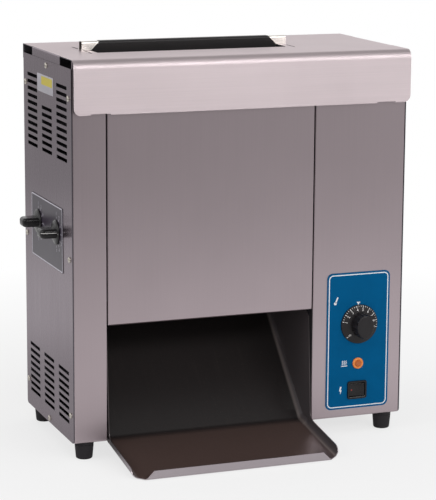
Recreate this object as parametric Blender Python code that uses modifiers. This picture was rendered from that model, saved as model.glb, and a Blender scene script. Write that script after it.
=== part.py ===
"""Vertical contact bun toaster: body, conveyors, platen, drive and controls.

Run with: blender --background --python part.py

Lengths are in metres. The body's frame has X to the right, Y to the back and
Z up, with its origin at the left end of the front face, level with the
underside of the body. The root empty then puts the middle of the whole
machine's outline, at the height that its feet stand on, at the world origin.
"""

import math

import bmesh
import bpy
from mathutils import Matrix, Vector

# Body
BODY_WIDTH = 0.530
BODY_DEPTH = 0.250
BODY_HEIGHT = 0.568
COVER_TOP_GAP = 0.0133
LEFT_BAY = 0.053
CONTROL_BAY = 0.150
TUNNEL_HEIGHT = 0.175
FOOT_HEIGHT = 0.027

# Sheet metal and fits
SHEET = 0.0012
GAP = 0.0003
SEAM = 0.0005
PANEL_BEND = 0.0032
PANEL_RETURN = 0.014
OVERRUN = 0.004
WELD = 0.000002

# Hood
SKIRT_HEIGHT = 0.079
SKIRT_REACH = 0.014
HOOD_BEND = 0.0125
SKIRT_CORNER = 0.012
HOOD_REAR_DROP = 0.022
HOOD_TAB_START = 0.055
HOOD_TAB_BACK_ROOM = 0.050
SLOT_LEFT_MARGIN = 0.013
SLOT_RIGHT_MARGIN = 0.014
SLOT_WIDTH = 0.086
SLOT_CORNER = 0.003
SLIT_LENGTH = 0.033
SLIT_WIDTH = 0.002
SLIT_OFFSET = 0.011
SLIT_SPREAD = 0.033
SKIRT_NOTCH_WIDTH = 0.030
SKIRT_NOTCH_HEIGHT = 0.0018
SKIRT_NOTCH_INSET = 0.040

# Vents in the side and rear covers
VENT_MARGIN = 0.0215
VENT_HEIGHT = 0.0045
VENT_PITCH = 0.01055
VENT_COLUMN_GAP = 0.024
UPPER_VENT_DROP = 0.0277
UPPER_VENT_ROWS = 11
MIDDLE_VENT_ROWS = 7
LOWER_VENT_TOP = 0.1046
LOWER_VENT_ROWS = 8
REAR_VENT_ROWS = 6
COVER_CORNER = 0.006

# Base
PAN_LIP = 0.014

# Discharge chute
CHUTE_SIDE_GAP = 0.0008
CHUTE_REACH = 0.122
CHUTE_FALL = 0.0218
CHUTE_BEND_Y = 0.026
CHUTE_BEND_DROP = 0.0035
CHUTE_BACK_ROOM = 0.050
CHUTE_TOP_Z = 0.1764
CHUTE_BEND_RADIUS = 0.012
CHUTE_LIP = 0.012
CHUTE_CORNER = 0.017
CHUTE_LIP_SLOPE = 0.012
CHUTE_SIDE_END = 0.094
CHUTE_SIDE_TAPER = 0.013
CHUTE_WALL_TOP = 0.170
CHUTE_WALL_FRONT = 0.010
CHUTE_WALL_LEAN = 0.012

# Platen, release sheet and divider
PLATEN_THICKNESS = 0.0124
PLATEN_BOTTOM = 0.205
PLATEN_DROP = 0.008
PLATEN_CHAMFER = 0.003
CAP_WIDTH = 0.013
CAP_HEIGHT = 0.0127
CAP_BEND = 0.0025
RELEASE_SHEET = 0.0005
RELEASE_BOTTOM = 0.212
RELEASE_INSET = 0.0015

# Conveyors
ROLLER_RADIUS = 0.017
IDLER_DROP = 0.053
BELT_THICKNESS = 0.0025
BELT_INSET = 0.0015
DRIVE_GAP = 0.0197
DRIVE_HEIGHT = 0.215
LEAN_ANGLE = math.radians(2.4)
SHAFT_RADIUS = 0.004
FRAME_INSET = 0.003
FRAME_BACK = 0.0252
FRAME_FRONT = 0.0195
FRAME_END = 0.014
FRAME_BEND = 0.003
IDLER_SHAFT_REACH = 0.0012

# Drive
BUSH_RADIUS = 0.007
BUSH_FLANGE_RADIUS = 0.010
BUSH_FLANGE = 0.0015
BUSH_SPIGOT = 0.0030
SHAFT_LEFT_REACH = 0.005
GEAR_TEETH = 24
GEAR_WIDTH = 0.006
GEAR_OFFSET = 0.0048
GEAR_BACKLASH = 0.0008
PRESSURE_ANGLE = math.radians(20)
ADDENDUM_SHARE = 0.90
DEDENDUM_SHARE = 1.15
SPROCKET_TEETH = 10
CHAIN_PITCH = 0.009525
CHAIN_LINKS_BETWEEN = 13
CHAIN_OFFSET = 0.0168
CHAIN_PLATE = 0.0012
CHAIN_PLATE_HALF = 0.0040
CHAIN_WAIST_HALF = 0.0028
CHAIN_ROLLER_RADIUS = 0.0030
SPROCKET_WIDTH = 0.004
SPROCKET_SIDE_GAP = 0.0005
SPROCKET_TIP = 0.0024
SPROCKET_ROOT = 0.0032
SPROCKET_HUB_RADIUS = 0.008
SPROCKET_HUB = 0.0075
SHAFT_RIGHT_REACH = 0.002

# Gearmotor
MOTOR_BRACKET_OFFSET = 0.0065
MOTOR_BRACKET_TOP = 0.140
MOTOR_BRACKET_FOOT = 0.065
MOTOR_BRACKET_WIDTH = 0.060
GEARBOX_SIZE = 0.056
GEARBOX_LENGTH = 0.034
GEARBOX_CORNER = 0.006
MOTOR_RADIUS = 0.026
MOTOR_LENGTH = 0.058
MOTOR_EDGE = 0.004
OUTPUT_SHAFT_SEAT = 0.005

# Adjusters
FOLLOWER_LEVER = 0.090
ADJUSTER_SPACING = 0.096
ADJUSTER_TURN = math.radians(180)
CAM_BASE_RADIUS = 0.0085
CAM_OVERRISE = math.radians(25)
CAM_FALL = math.radians(60)
CAM_CENTRE = 0.030
CAM_WIDTH = 0.008
FOLLOWER_RADIUS = 0.0035
FOLLOWER_LEFT = 0.024
FOLLOWER_SLOT_ROOM = 0.0014
SKIRTED_KNOB_RADIUS = 0.0185
SKIRTED_KNOB_SKIRT = 0.004
KNOB_BAR_REACH = 0.027
KNOB_BAR_WIDTH = 0.014
KNOB_BAR_LENGTH = 0.031
KNOB_BAR_TIP = 0.008
KNOB_BORE_DEPTH = 0.019
ADJUSTER_SHAFT_DEPTH = 0.018
BRACKET_WEB = 0.010
BRACKET_HALF_HEIGHT = 0.055
BRACKET_FOOT = 0.018
BRACKET_HALF_LENGTH = 0.067

# Overlays and controls on the front
OVERLAY = 0.0005
OVERLAY_LEFT_MARGIN = 0.024
OVERLAY_RIGHT_MARGIN = 0.021
OVERLAY_LOW = 0.0135
OVERLAY_HIGH = 0.2285
OVERLAY_CORNER = 0.009
SIDE_OVERLAY_AHEAD = 0.079
SIDE_OVERLAY_BEHIND = 0.085
SIDE_OVERLAY_BELOW = 0.057
SIDE_OVERLAY_ABOVE = 0.040
SIDE_OVERLAY_CORNER = 0.002
DIAL_INSET = 0.078
DIAL_Z = 0.147
DIAL_RADIUS = 0.0305
DIAL_SKIRT = 0.005
DIAL_SHOULDER = 0.020
DIAL_EDGE = 0.0022
DIAL_GAP = 0.0005
DIAL_GRIP_HEIGHT = 0.026
DIAL_GRIP_HALF_WIDTH = 0.015
DIAL_GRIP_HALF_LENGTH = 0.0192
DIAL_FLUTE = 0.0010
DIAL_FLUTES = 12
DIAL_GRIP_BEVEL = 0.0018
DIAL_SHAFT_RADIUS = 0.003
DIAL_SHAFT_REACH = 0.016
DIAL_BUSH_RADIUS = 0.0046
THERMOSTAT_RADIUS = 0.018
THERMOSTAT_DEPTH = 0.028
LAMP_INSET = 0.077
LAMP_Z = 0.085
LAMP_RADIUS = 0.00875
LAMP_BODY_RADIUS = 0.0066
LAMP_BODY_DEPTH = 0.024
LAMP_RIM = 0.0022
LAMP_DOME = 0.0018
SWITCH_INSET = 0.07625
SWITCH_Z = 0.04275
SWITCH_WIDTH = 0.0325
SWITCH_HEIGHT = 0.0285
SWITCH_CORNER = 0.0035
SWITCH_BEZEL = 0.0025
SWITCH_BODY_WIDTH = 0.029
SWITCH_BODY_HEIGHT = 0.025
SWITCH_BODY_DEPTH = 0.022
SWITCH_WINDOW_WIDTH = 0.0264
SWITCH_WINDOW_HEIGHT = 0.021
SWITCH_CAVITY_DEPTH = 0.014
ROCKER_HALF_WIDTH = 0.012
ROCKER_HALF_HEIGHT = 0.010
ROCKER_PIVOT_DEPTH = 0.004
ROCKER_FACE = 0.0078
ROCKER_BACK = 0.006
ROCKER_PIN_RADIUS = 0.0015
ROCKER_PIN_REACH = 0.0115
ROCKER_TILT = math.radians(7)

# Electrical pieces behind the front
HEATER_BLOCK_WIDTH = 0.022
HEATER_BLOCK_HEIGHT = 0.034
HEATER_BLOCK_DEPTH = 0.010
HEATER_BLOCK_Z = 0.320
HEATER_STUD_RADIUS = 0.0025
HEATER_STUD_REACH = 0.012
HEATER_STUD_SPREAD = 0.018
LIMIT_DROP = 0.088
LIMIT_RADIUS = 0.008
LIMIT_FLANGE_RADIUS = 0.012
LIMIT_FLANGE = 0.001
LIMIT_DEPTH = 0.009
TERMINAL_INSET = 0.098
TERMINAL_BACK_ROOM = 0.065
TERMINAL_LENGTH = 0.048
TERMINAL_WIDTH = 0.022
TERMINAL_HEIGHT = 0.020
TERMINAL_WAYS = 5
TERMINAL_FENCE = 0.002
TERMINAL_NOTCH = 0.008
FAN_INSET = 0.078
FAN_Z = 0.115
FAN_SIZE = 0.080
FAN_DEPTH = 0.025
FAN_BORE_RADIUS = 0.038
FAN_CORNER = 0.005
FAN_HUB_RADIUS = 0.017
FAN_HUB_LENGTH = 0.015
FAN_PLATE = 0.003
FAN_STRUT_WIDTH = 0.005
FAN_STRUTS = 4
FAN_BLADES = 7
FAN_TIP_GAP = 0.0015
FAN_BLADE_CHORD = 0.015
FAN_BLADE_THICKNESS = 0.0014
FAN_BLADE_PITCH = math.radians(38)
FAN_PIN_RADIUS = 0.0015
GRILLE_PITCH = 0.0085
GRILLE_SLOTS = 8
INLET_MARGIN = 0.030
INLET_Z = 0.038
INLET_RADIUS = 0.008
INLET_FLANGE_RADIUS = 0.011
INLET_FLANGE = 0.003
INLET_REACH = 0.012
INLET_DEPTH = 0.006
INLET_BORE_RADIUS = 0.004

# Feet
FOOT_INSET = 0.0215
FOOT_FRONT = 0.018
FOOT_TOP_RADIUS = 0.0145
FOOT_BOTTOM_RADIUS = 0.0125
FOOT_EDGE = 0.004

# Facets
ARC_STEPS = 3
ROUND_STEPS = 20
FINE_STEPS = 36
SMALL_STEPS = 12
BELT_STEPS = 12
BUSH_STEPS = 14
GRIP_STEPS = 3
CHAIN_ROLLER_SIDES = 5
CAM_POINTS = 32

# Places worked out from the sizes above
LAYER = SHEET + GAP
LEFT_WALL = LEFT_BAY
RIGHT_WALL = BODY_WIDTH - CONTROL_BAY
PLATEN_Y = BODY_DEPTH / 2
WALL_TOP = BODY_HEIGHT - LAYER
SLOT_LEFT = LEFT_WALL + SLOT_LEFT_MARGIN
SLOT_RIGHT = RIGHT_WALL - SLOT_RIGHT_MARGIN
HOOD_TAB_END = BODY_DEPTH - HOOD_TAB_BACK_ROOM
VENT_LENGTH = (BODY_DEPTH - 2 * VENT_MARGIN - 2 * VENT_COLUMN_GAP) / 3
VENT_SPREAD = VENT_LENGTH + VENT_COLUMN_GAP
CHUTE_TOP_Y = BODY_DEPTH - CHUTE_BACK_ROOM
BRACKET_FRONT = PLATEN_Y - BRACKET_HALF_LENGTH
BRACKET_BACK = PLATEN_Y + BRACKET_HALF_LENGTH
OVERLAY_LEFT = RIGHT_WALL + OVERLAY_LEFT_MARGIN
OVERLAY_RIGHT = BODY_WIDTH - OVERLAY_RIGHT_MARGIN
SIDE_OVERLAY_FRONT = PLATEN_Y - SIDE_OVERLAY_AHEAD
SIDE_OVERLAY_BACK = PLATEN_Y + SIDE_OVERLAY_BEHIND
DIAL_X = RIGHT_WALL + DIAL_INSET
LAMP_X = RIGHT_WALL + LAMP_INSET
SWITCH_X = RIGHT_WALL + SWITCH_INSET
TERMINAL_X = RIGHT_WALL + TERMINAL_INSET
TERMINAL_Y = BODY_DEPTH - TERMINAL_BACK_ROOM
FAN_X = RIGHT_WALL + FAN_INSET
INLET_X = BODY_WIDTH - INLET_MARGIN
COVER_HEIGHT = BODY_HEIGHT - COVER_TOP_GAP
UPPER_VENT_TOP = COVER_HEIGHT - UPPER_VENT_DROP
PLATEN_TOP = BODY_HEIGHT - PLATEN_DROP
LIMIT_Z = BODY_HEIGHT - LIMIT_DROP
ROLLER_SPAN = BODY_HEIGHT - IDLER_DROP - DRIVE_HEIGHT
ADJUSTER_HEIGHT = DRIVE_HEIGHT + FOLLOWER_LEVER
BRACKET_LOW = ADJUSTER_HEIGHT - BRACKET_HALF_HEIGHT
BRACKET_HIGH = ADJUSTER_HEIGHT + BRACKET_HALF_HEIGHT
SIDE_OVERLAY_LOW = ADJUSTER_HEIGHT - SIDE_OVERLAY_BELOW
SIDE_OVERLAY_HIGH = ADJUSTER_HEIGHT + SIDE_OVERLAY_ABOVE
HOOD_UNDER = BODY_HEIGHT - SHEET
RELEASE_HALF = CAP_WIDTH / 2 + GAP + RELEASE_SHEET
BELT_OUTER = ROLLER_RADIUS + GAP + BELT_THICKNESS
DRIVE_HALF_SPREAD = RELEASE_HALF + DRIVE_GAP + BELT_OUTER
CHAIN_RADIUS = CHAIN_PITCH / (2 * math.sin(math.pi / SPROCKET_TEETH))
CHAIN_SPAN = CHAIN_PITCH * CHAIN_LINKS_BETWEEN
CHAIN_X = RIGHT_WALL + SHEET + CHAIN_OFFSET
MOTOR_Z = DRIVE_HEIGHT - CHAIN_SPAN
BRACKET_X = CHAIN_X + MOTOR_BRACKET_OFFSET
FACE_FRONT = GAP + OVERLAY
KNOB_BACK = FACE_FRONT + DIAL_GAP
CAM_LIFT = FOLLOWER_LEVER * math.tan(LEAN_ANGLE)
FOLLOWER_OFFSET = CAM_BASE_RADIUS + FOLLOWER_RADIUS + GAP

TURNS = {
    "+X": (0.0, math.pi / 2, 0.0),
    "-X": (0.0, -math.pi / 2, 0.0),
    "+Y": (-math.pi / 2, 0.0, 0.0),
    "-Y": (math.pi / 2, 0.0, 0.0),
    "+Z": (0.0, 0.0, 0.0),
}
PLANES = {
    "XY": (0.0, 0.0, 0.0),
    "XZ": (math.pi / 2, 0.0, 0.0),
    "YZ": (math.pi / 2, 0.0, math.pi / 2),
}


def clear_scene():
    """Remove every object of the open scene."""
    for item in list(bpy.data.objects):
        bpy.data.objects.remove(item, do_unlink=True)


def new_collection(name):
    """Return a fresh collection linked to the scene."""
    group = bpy.data.collections.new(name)
    bpy.context.scene.collection.children.link(group)
    return group


def finish(name, colour, roughness, metallic):
    """Return a plain Principled material."""
    material = bpy.data.materials.new(name)
    material.use_nodes = True
    shader = material.node_tree.nodes["Principled BSDF"]
    shader.inputs["Base Color"].default_value = (*colour, 1.0)
    shader.inputs["Roughness"].default_value = roughness
    shader.inputs["Metallic"].default_value = metallic
    return material


clear_scene()
PARTS = new_collection("vertical_contact_toaster")
CUTTERS = new_collection("cutters")
CUTTERS.hide_render = True

STAINLESS = finish("brushed_stainless", (0.55, 0.54, 0.55), 0.32, 1.0)
ALUMINIUM = finish("cast_aluminium", (0.50, 0.50, 0.50), 0.45, 1.0)
STEEL = finish("zinc_plated_steel", (0.42, 0.42, 0.41), 0.40, 1.0)
BRONZE = finish("sintered_bronze", (0.45, 0.28, 0.12), 0.50, 1.0)
TURNED = finish("turned_aluminium", (0.57, 0.57, 0.58), 0.30, 1.0)
RELEASE_FILM = finish("release_coated_sheet", (0.020, 0.017, 0.016), 0.45, 0.0)
COATED_STEEL = finish("coated_steel", (0.020, 0.017, 0.016), 0.45, 0.0)
BLACK_PLASTIC = finish("black_moulded_plastic", (0.018, 0.016, 0.017), 0.35, 0.0)
GREY_PLASTIC = finish("grey_moulded_plastic", (0.10, 0.10, 0.11), 0.50, 0.0)
RUBBER = finish("black_rubber", (0.015, 0.014, 0.015), 0.70, 0.0)
SILICONE = finish("silicone_belt", (0.16, 0.055, 0.030), 0.60, 0.0)
CERAMIC = finish("heater_ceramic", (0.70, 0.66, 0.58), 0.60, 0.0)
BLUE_FILM = finish("blue_overlay_film", (0.0, 0.075, 0.17), 0.35, 0.0)
GREY_FILM = finish("grey_overlay_film", (0.080, 0.075, 0.095), 0.40, 0.0)
AMBER = finish("amber_lens", (0.78, 0.22, 0.03), 0.20, 0.0)
ENAMEL = finish("dark_motor_enamel", (0.03, 0.035, 0.04), 0.45, 0.0)


def rectangle(low, high):
    """Corners of a rectangle, anticlockwise."""
    return [(low[0], low[1]), (high[0], low[1]), (high[0], high[1]), (low[0], high[1])]


def circle(centre, radius, steps=SMALL_STEPS):
    """Points of a circle."""
    angles = (2 * math.pi * index / steps for index in range(steps))
    return [(centre[0] + radius * math.cos(a), centre[1] + radius * math.sin(a)) for a in angles]


def arc(centre, radius, start, end, steps):
    """Points of an arc, both ends included."""
    angles = (start + (end - start) * index / steps for index in range(steps + 1))
    return [(centre[0] + radius * math.cos(a), centre[1] + radius * math.sin(a)) for a in angles]


def rounded(points, radii, closed=True, steps=ARC_STEPS):
    """Replace the corners of an outline by arcs; a radius of 0 keeps a corner."""
    result = []
    count = len(points)
    for index, point in enumerate(points):
        radius = radii[index] if isinstance(radii, (list, tuple)) else radii
        is_end = not closed and index in (0, count - 1)
        if radius <= 0 or is_end:
            result.append(tuple(point))
            continue
        here = Vector(point)
        before = (Vector(points[index - 1]) - here).normalized()
        after = (Vector(points[(index + 1) % count]) - here).normalized()
        half = before.angle(after) / 2
        centre = here + (before + after).normalized() * (radius / math.sin(half))
        first = here + before * (radius / math.tan(half)) - centre
        last = here + after * (radius / math.tan(half)) - centre
        start = math.atan2(first.y, first.x)
        sweep = math.atan2(first.x * last.y - first.y * last.x, first.dot(last))
        result += arc(centre, radius, start, start + sweep, steps)
    return result


def obround(centre, length, width, steps=2):
    """Outline of a slot with round ends, its length along the first axis."""
    reach = (length - width) / 2
    right = arc((centre[0] + reach, centre[1]), width / 2, -math.pi / 2, math.pi / 2, steps)
    left = arc((centre[0] - reach, centre[1]), width / 2, math.pi / 2, 3 * math.pi / 2, steps)
    return right + left


def sheet_outline(path, radii, side, thickness=SHEET):
    """Closed outline of a folded sheet whose one face follows the path.

    The other face lies a thickness to the left (side 1) or the right (side -1)
    of the path, and the two bend radii of a corner differ by the thickness.
    """
    count = len(path)
    directions = []
    for index in range(count - 1):
        step = Vector(path[index + 1]) - Vector(path[index])
        directions.append(step.normalized())
    offset = []
    other_radii = []
    for index in range(count):
        before = directions[max(index - 1, 0)]
        after = directions[min(index, count - 2)]
        normals = [Vector((-d.y, d.x)) * side for d in (before, after)]
        middle = (normals[0] + normals[1]).normalized()
        reach = thickness / middle.dot(normals[0])
        offset.append(tuple(Vector(path[index]) + middle * reach))
        turn = before.x * after.y - before.y * after.x
        toward = turn * side > 0
        radius = radii[index]
        other_radii.append(max(radius - thickness, 0.0) if toward else radius + thickness)
        if radius == 0:
            other_radii[-1] = 0.0
    near = rounded(path, radii, closed=False)
    far = rounded(offset, other_radii, closed=False)
    return near + far[::-1]


def place(item, parent, location, turn, surface):
    """Link, parent, place and paint an object."""
    PARTS.objects.link(item)
    item.parent = parent
    item.location = location
    item.rotation_euler = turn
    if surface is not None:
        item.data.materials.clear()
        item.data.materials.append(surface)
    return item


def flat_mesh(name, loops, depth):
    """Mesh of a flat outline with holes, extruded to both sides of its plane."""
    curve = bpy.data.curves.new(name, "CURVE")
    curve.dimensions = "2D"
    curve.fill_mode = "BOTH"
    curve.extrude = depth / 2
    for loop in loops:
        spline = curve.splines.new("POLY")
        spline.points.add(len(loop) - 1)
        for point, (u, v) in zip(spline.points, loop):
            point.co = (u, v, 0.0, 1.0)
        spline.use_cyclic_u = True
    outline = bpy.data.objects.new(name + "_outline", curve)
    bpy.context.scene.collection.objects.link(outline)
    bpy.context.view_layer.update()
    graph = bpy.context.evaluated_depsgraph_get()
    mesh = bpy.data.meshes.new_from_object(outline.evaluated_get(graph))
    mesh.name = name
    bpy.data.objects.remove(outline, do_unlink=True)
    bpy.data.curves.remove(curve)
    shape = bmesh.new()
    shape.from_mesh(mesh)
    bmesh.ops.remove_doubles(shape, verts=shape.verts, dist=WELD)
    bmesh.ops.recalc_face_normals(shape, faces=shape.faces)
    shape.to_mesh(mesh)
    shape.free()
    return mesh


def extruded(name, loops, plane, start, end, surface, parent=None, origin=(0.0, 0.0, 0.0)):
    """Solid of a flat outline in a plane, from start to end along its normal.

    The loops and the start and end are measured from the origin point.
    """
    mesh = flat_mesh(name, loops, end - start)
    item = bpy.data.objects.new(name, mesh)
    middle = (start + end) / 2
    along = {"XY": (0, 0, middle), "XZ": (0, middle, 0), "YZ": (middle, 0, 0)}[plane]
    location = Vector(origin) + Vector(along)
    return place(item, parent or ROOT, location, PLANES[plane], surface)


def turned(name, profile, direction, origin, surface, parent=None, steps=ROUND_STEPS, ring=False):
    """Turned solid: profile points (radius, height) run down the outer side."""
    mesh = bpy.data.meshes.new(name)
    points = [(radius, 0.0, height) for radius, height in profile]
    edges = [(index, index + 1) for index in range(len(points) - 1)]
    if ring:
        edges.append((len(points) - 1, 0))
    mesh.from_pydata(points, edges, [])
    item = bpy.data.objects.new(name, mesh)
    place(item, parent or ROOT, origin, TURNS[direction], surface)
    screw = item.modifiers.new("turn", "SCREW")
    screw.axis = "Z"
    screw.steps = steps
    screw.render_steps = steps
    screw.use_merge_vertices = True
    screw.merge_threshold = WELD
    screw.use_smooth_shade = False
    return item


def block(name, low, high, surface, parent=None):
    """Box between two corners, from Blender's cube."""
    bpy.ops.mesh.primitive_cube_add(size=1.0)
    item = bpy.context.active_object
    item.name = name
    item.data.name = name
    for group in list(item.users_collection):
        group.objects.unlink(item)
    size = Vector(high) - Vector(low)
    item.data.transform(Matrix.Diagonal((*size, 1.0)))
    middle = (Vector(low) + Vector(high)) / 2
    return place(item, parent or ROOT, middle, (0, 0, 0), surface)


def hide_tool(tool):
    """Move a cutter to the cutters' collection and keep it out of sight."""
    for group in list(tool.users_collection):
        group.objects.unlink(tool)
    CUTTERS.objects.link(tool)
    tool.hide_render = True
    tool.display_type = "WIRE"


def combine(item, tool, operation):
    """Boolean the tool with the item."""
    hide_tool(tool)
    step = item.modifiers.new(tool.name, "BOOLEAN")
    step.operation = operation
    step.solver = "EXACT"
    step.object = tool
    return item


def cut(item, label, loops, plane, start, end, origin=(0.0, 0.0, 0.0), parent=None):
    """Cut extruded loops out of an item."""
    name = item.name + "_" + label
    tool = extruded(name, loops, plane, start, end, None, parent or item.parent, origin)
    return combine(item, tool, "DIFFERENCE")


def join(item, tool):
    """Join a tool to an item as one solid."""
    return combine(item, tool, "UNION")


def bevel(item, width, segments=2, angle=math.radians(50)):
    """Round the sharp edges of an item."""
    step = item.modifiers.new("rounded_edges", "BEVEL")
    step.width = width
    step.segments = segments
    step.limit_method = "ANGLE"
    step.angle_limit = angle
    return item


def empty(name, location, turn=(0.0, 0.0, 0.0), parent=None):
    """Empty that carries a body on its joint's axis."""
    item = bpy.data.objects.new(name, None)
    PARTS.objects.link(item)
    item.parent = parent
    item.location = location
    item.rotation_euler = turn
    return item


def machine_origin():
    """Place of the body's frame that centres the whole outline over the origin."""
    left = -(KNOB_BACK + KNOB_BAR_REACH)
    back = BODY_DEPTH + INLET_REACH
    return (-(left + BODY_WIDTH) / 2, -(back - CHUTE_REACH) / 2, FOOT_HEIGHT)


ROOT = empty("machine", machine_origin())


def slot_column(centre, top, rows):
    """Vent slots one above another, the first with its top edge at the given height."""
    loops = []
    for row in range(rows):
        edge = top - row * VENT_PITCH
        loops.append(rectangle((centre - VENT_LENGTH / 2, edge - VENT_HEIGHT), (centre + VENT_LENGTH / 2, edge)))
    return loops


def vent_loops():
    """Vents of a side cover: three columns above and three below."""
    loops = []
    middle_top = UPPER_VENT_TOP - (UPPER_VENT_ROWS - MIDDLE_VENT_ROWS) * VENT_PITCH
    for column in (-1, 0, 1):
        centre = PLATEN_Y + column * VENT_SPREAD
        top = UPPER_VENT_TOP if column else middle_top
        rows = UPPER_VENT_ROWS if column else MIDDLE_VENT_ROWS
        loops += slot_column(centre, top, rows)
        loops += slot_column(centre, LOWER_VENT_TOP, LOWER_VENT_ROWS)
    return loops


def adjuster_places():
    """Heights and depths of the two adjuster axes, crown side first."""
    return [(PLATEN_Y + side * ADJUSTER_SPACING / 2, ADJUSTER_HEIGHT) for side in (-1, 1)]


def drive_places():
    """Depths and heights of the two drive shafts, crown side first."""
    return [(PLATEN_Y + side * DRIVE_HALF_SPREAD, DRIVE_HEIGHT) for side in (-1, 1)]


def side_cover(name, start, openings):
    """Flat side cover with vents; its lower corners are rounded."""
    corners = rectangle((0.0, 0.0), (BODY_DEPTH, COVER_HEIGHT))
    outline = rounded(corners, [COVER_CORNER, COVER_CORNER, SHEET, SHEET])
    return extruded(name, [outline] + vent_loops() + openings, "YZ", start, start + SHEET, STAINLESS)


def build_side_covers():
    """Left and right covers; the left one lets the adjuster shafts through."""
    holes = [circle(place_, SHAFT_RADIUS + GAP) for place_ in adjuster_places()]
    side_cover("left_side_cover", 0.0, holes)
    side_cover("right_side_cover", BODY_WIDTH - SHEET, [])


def front_panel(name, left, right, low, high, top_return=0.0):
    """Front panel with its lower edge, and if asked its upper edge, folded back."""
    path = [(PANEL_RETURN, low), (0.0, low), (0.0, high)]
    radii = [0.0, PANEL_BEND, 0.0]
    if top_return:
        path.append((top_return, high))
        radii = [0.0, PANEL_BEND, PANEL_BEND, 0.0]
    return extruded(name, [sheet_outline(path, radii, -1)], "YZ", left, right, STAINLESS)


def build_front():
    """Left pillar, removable middle cover and the control housing's front."""
    front_panel("left_pillar", LAYER, LEFT_WALL - SEAM, 0.0, WALL_TOP)
    cover_top = BODY_HEIGHT - SKIRT_HEIGHT / 2
    front_panel("front_cover", LEFT_WALL + SEAM, RIGHT_WALL - SEAM, TUNNEL_HEIGHT, cover_top, PANEL_RETURN)
    housing = front_panel("control_front", RIGHT_WALL + SEAM, BODY_WIDTH - LAYER, 0.0, WALL_TOP)
    body = (SWITCH_BODY_WIDTH / 2 + GAP, SWITCH_BODY_HEIGHT / 2 + GAP)
    loops = [
        circle((DIAL_X, DIAL_Z), DIAL_BUSH_RADIUS + GAP),
        circle((LAMP_X, LAMP_Z), LAMP_BODY_RADIUS + GAP),
        rectangle((SWITCH_X - body[0], SWITCH_Z - body[1]), (SWITCH_X + body[0], SWITCH_Z + body[1])),
    ]
    cut(housing, "openings", loops, "XZ", -OVERRUN, OVERRUN)


def build_rear_cover():
    """Rear cover with vents, the fan's grille and the cord inlet's hole."""
    path = [(BODY_DEPTH - PANEL_RETURN, 0.0), (BODY_DEPTH, 0.0), (BODY_DEPTH, WALL_TOP)]
    outline = sheet_outline(path, [0.0, PANEL_BEND, 0.0], 1)
    cover = extruded("rear_cover", [outline], "YZ", LAYER, BODY_WIDTH - LAYER, STAINLESS)
    loops = []
    middle = (LEFT_WALL + RIGHT_WALL) / 2
    for column in (-1, 0, 1):
        loops += slot_column(middle + column * VENT_SPREAD, UPPER_VENT_TOP, REAR_VENT_ROWS)
    for row in range(GRILLE_SLOTS):
        height = (row - (GRILLE_SLOTS - 1) / 2) * GRILLE_PITCH
        half = math.sqrt(FAN_BORE_RADIUS ** 2 - height ** 2) - VENT_HEIGHT / 2
        low_corner = (FAN_X - half, FAN_Z + height - VENT_HEIGHT / 2)
        high_corner = (FAN_X + half, FAN_Z + height + VENT_HEIGHT / 2)
        loops.append(rectangle(low_corner, high_corner))
    loops.append(circle((INLET_X, INLET_Z), INLET_RADIUS + GAP))
    cut(cover, "openings", loops, "XZ", BODY_DEPTH - OVERRUN, BODY_DEPTH + OVERRUN)


def chute_slope():
    """Rise over run of the steep part of the chute."""
    return (CHUTE_TOP_Z + CHUTE_BEND_DROP) / (CHUTE_TOP_Y - CHUTE_BEND_Y)


def build_base_pan():
    """Base pan: a shallow tray with a notch at the front for the chute."""
    floor = LAYER
    front = PANEL_BEND + GAP
    back = BODY_DEPTH - PANEL_BEND - GAP
    slope = chute_slope()
    drop = SHEET * math.sqrt(1 + slope ** 2)
    notch = CHUTE_BEND_Y + (floor + SHEET + 2 * GAP + CHUTE_BEND_DROP + drop) / slope
    outer = rectangle((LAYER, front), (BODY_WIDTH - LAYER, back))
    pan = extruded("base_pan", [outer], "XY", floor, floor + PAN_LIP, STAINLESS)
    inner = rectangle((LAYER + SHEET, front - OVERRUN), (BODY_WIDTH - LAYER - SHEET, back - SHEET))
    cut(pan, "hollow", [inner], "XY", floor + SHEET, floor + PAN_LIP + OVERRUN)
    mouth = rectangle((LEFT_WALL + SEAM, front - OVERRUN), (RIGHT_WALL - SEAM, notch))
    cut(pan, "notch", [mouth], "XY", floor - OVERRUN, floor + PAN_LIP + OVERRUN)


def bulkhead(name, face, outward, holes):
    """Wall beside the toasting bay, flanged away from it at the front and back."""
    front = LAYER
    back = BODY_DEPTH - PANEL_BEND - LAYER - GAP
    tip = face + outward * PANEL_RETURN
    path = [(tip, front), (face, front), (face, back), (tip, back)]
    outline = sheet_outline(path, [0.0, PANEL_BEND, PANEL_BEND, 0.0], -outward)
    wall = extruded(name, [outline], "XY", 2 * LAYER, WALL_TOP, STAINLESS)
    cut(wall, "holes", holes, "YZ", face - OVERRUN, face + OVERRUN)


def follower_slots():
    """Slots in the left bulkhead that let the followers pass and travel."""
    loops = []
    for side, (depth, height) in zip((1, -1), adjuster_places()):
        centre = depth + side * (FOLLOWER_OFFSET + CAM_LIFT / 2)
        width = 2 * (FOLLOWER_RADIUS + FOLLOWER_SLOT_ROOM)
        loops.append(obround((centre, height), CAM_LIFT + width, width, ARC_STEPS))
    return loops


def build_bulkheads():
    """Left and right bulkheads with the holes of the shafts that cross them."""
    bushes = [circle(place_, BUSH_RADIUS + GAP) for place_ in drive_places()]
    shafts = [circle(place_, SHAFT_RADIUS + GAP) for place_ in adjuster_places()]
    bulkhead("left_bulkhead", LEFT_WALL, -1, bushes + shafts + follower_slots())
    limit = circle((PLATEN_Y, LIMIT_Z), LIMIT_RADIUS - SHEET)
    bulkhead("right_bulkhead", RIGHT_WALL, 1, bushes + [limit])


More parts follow.
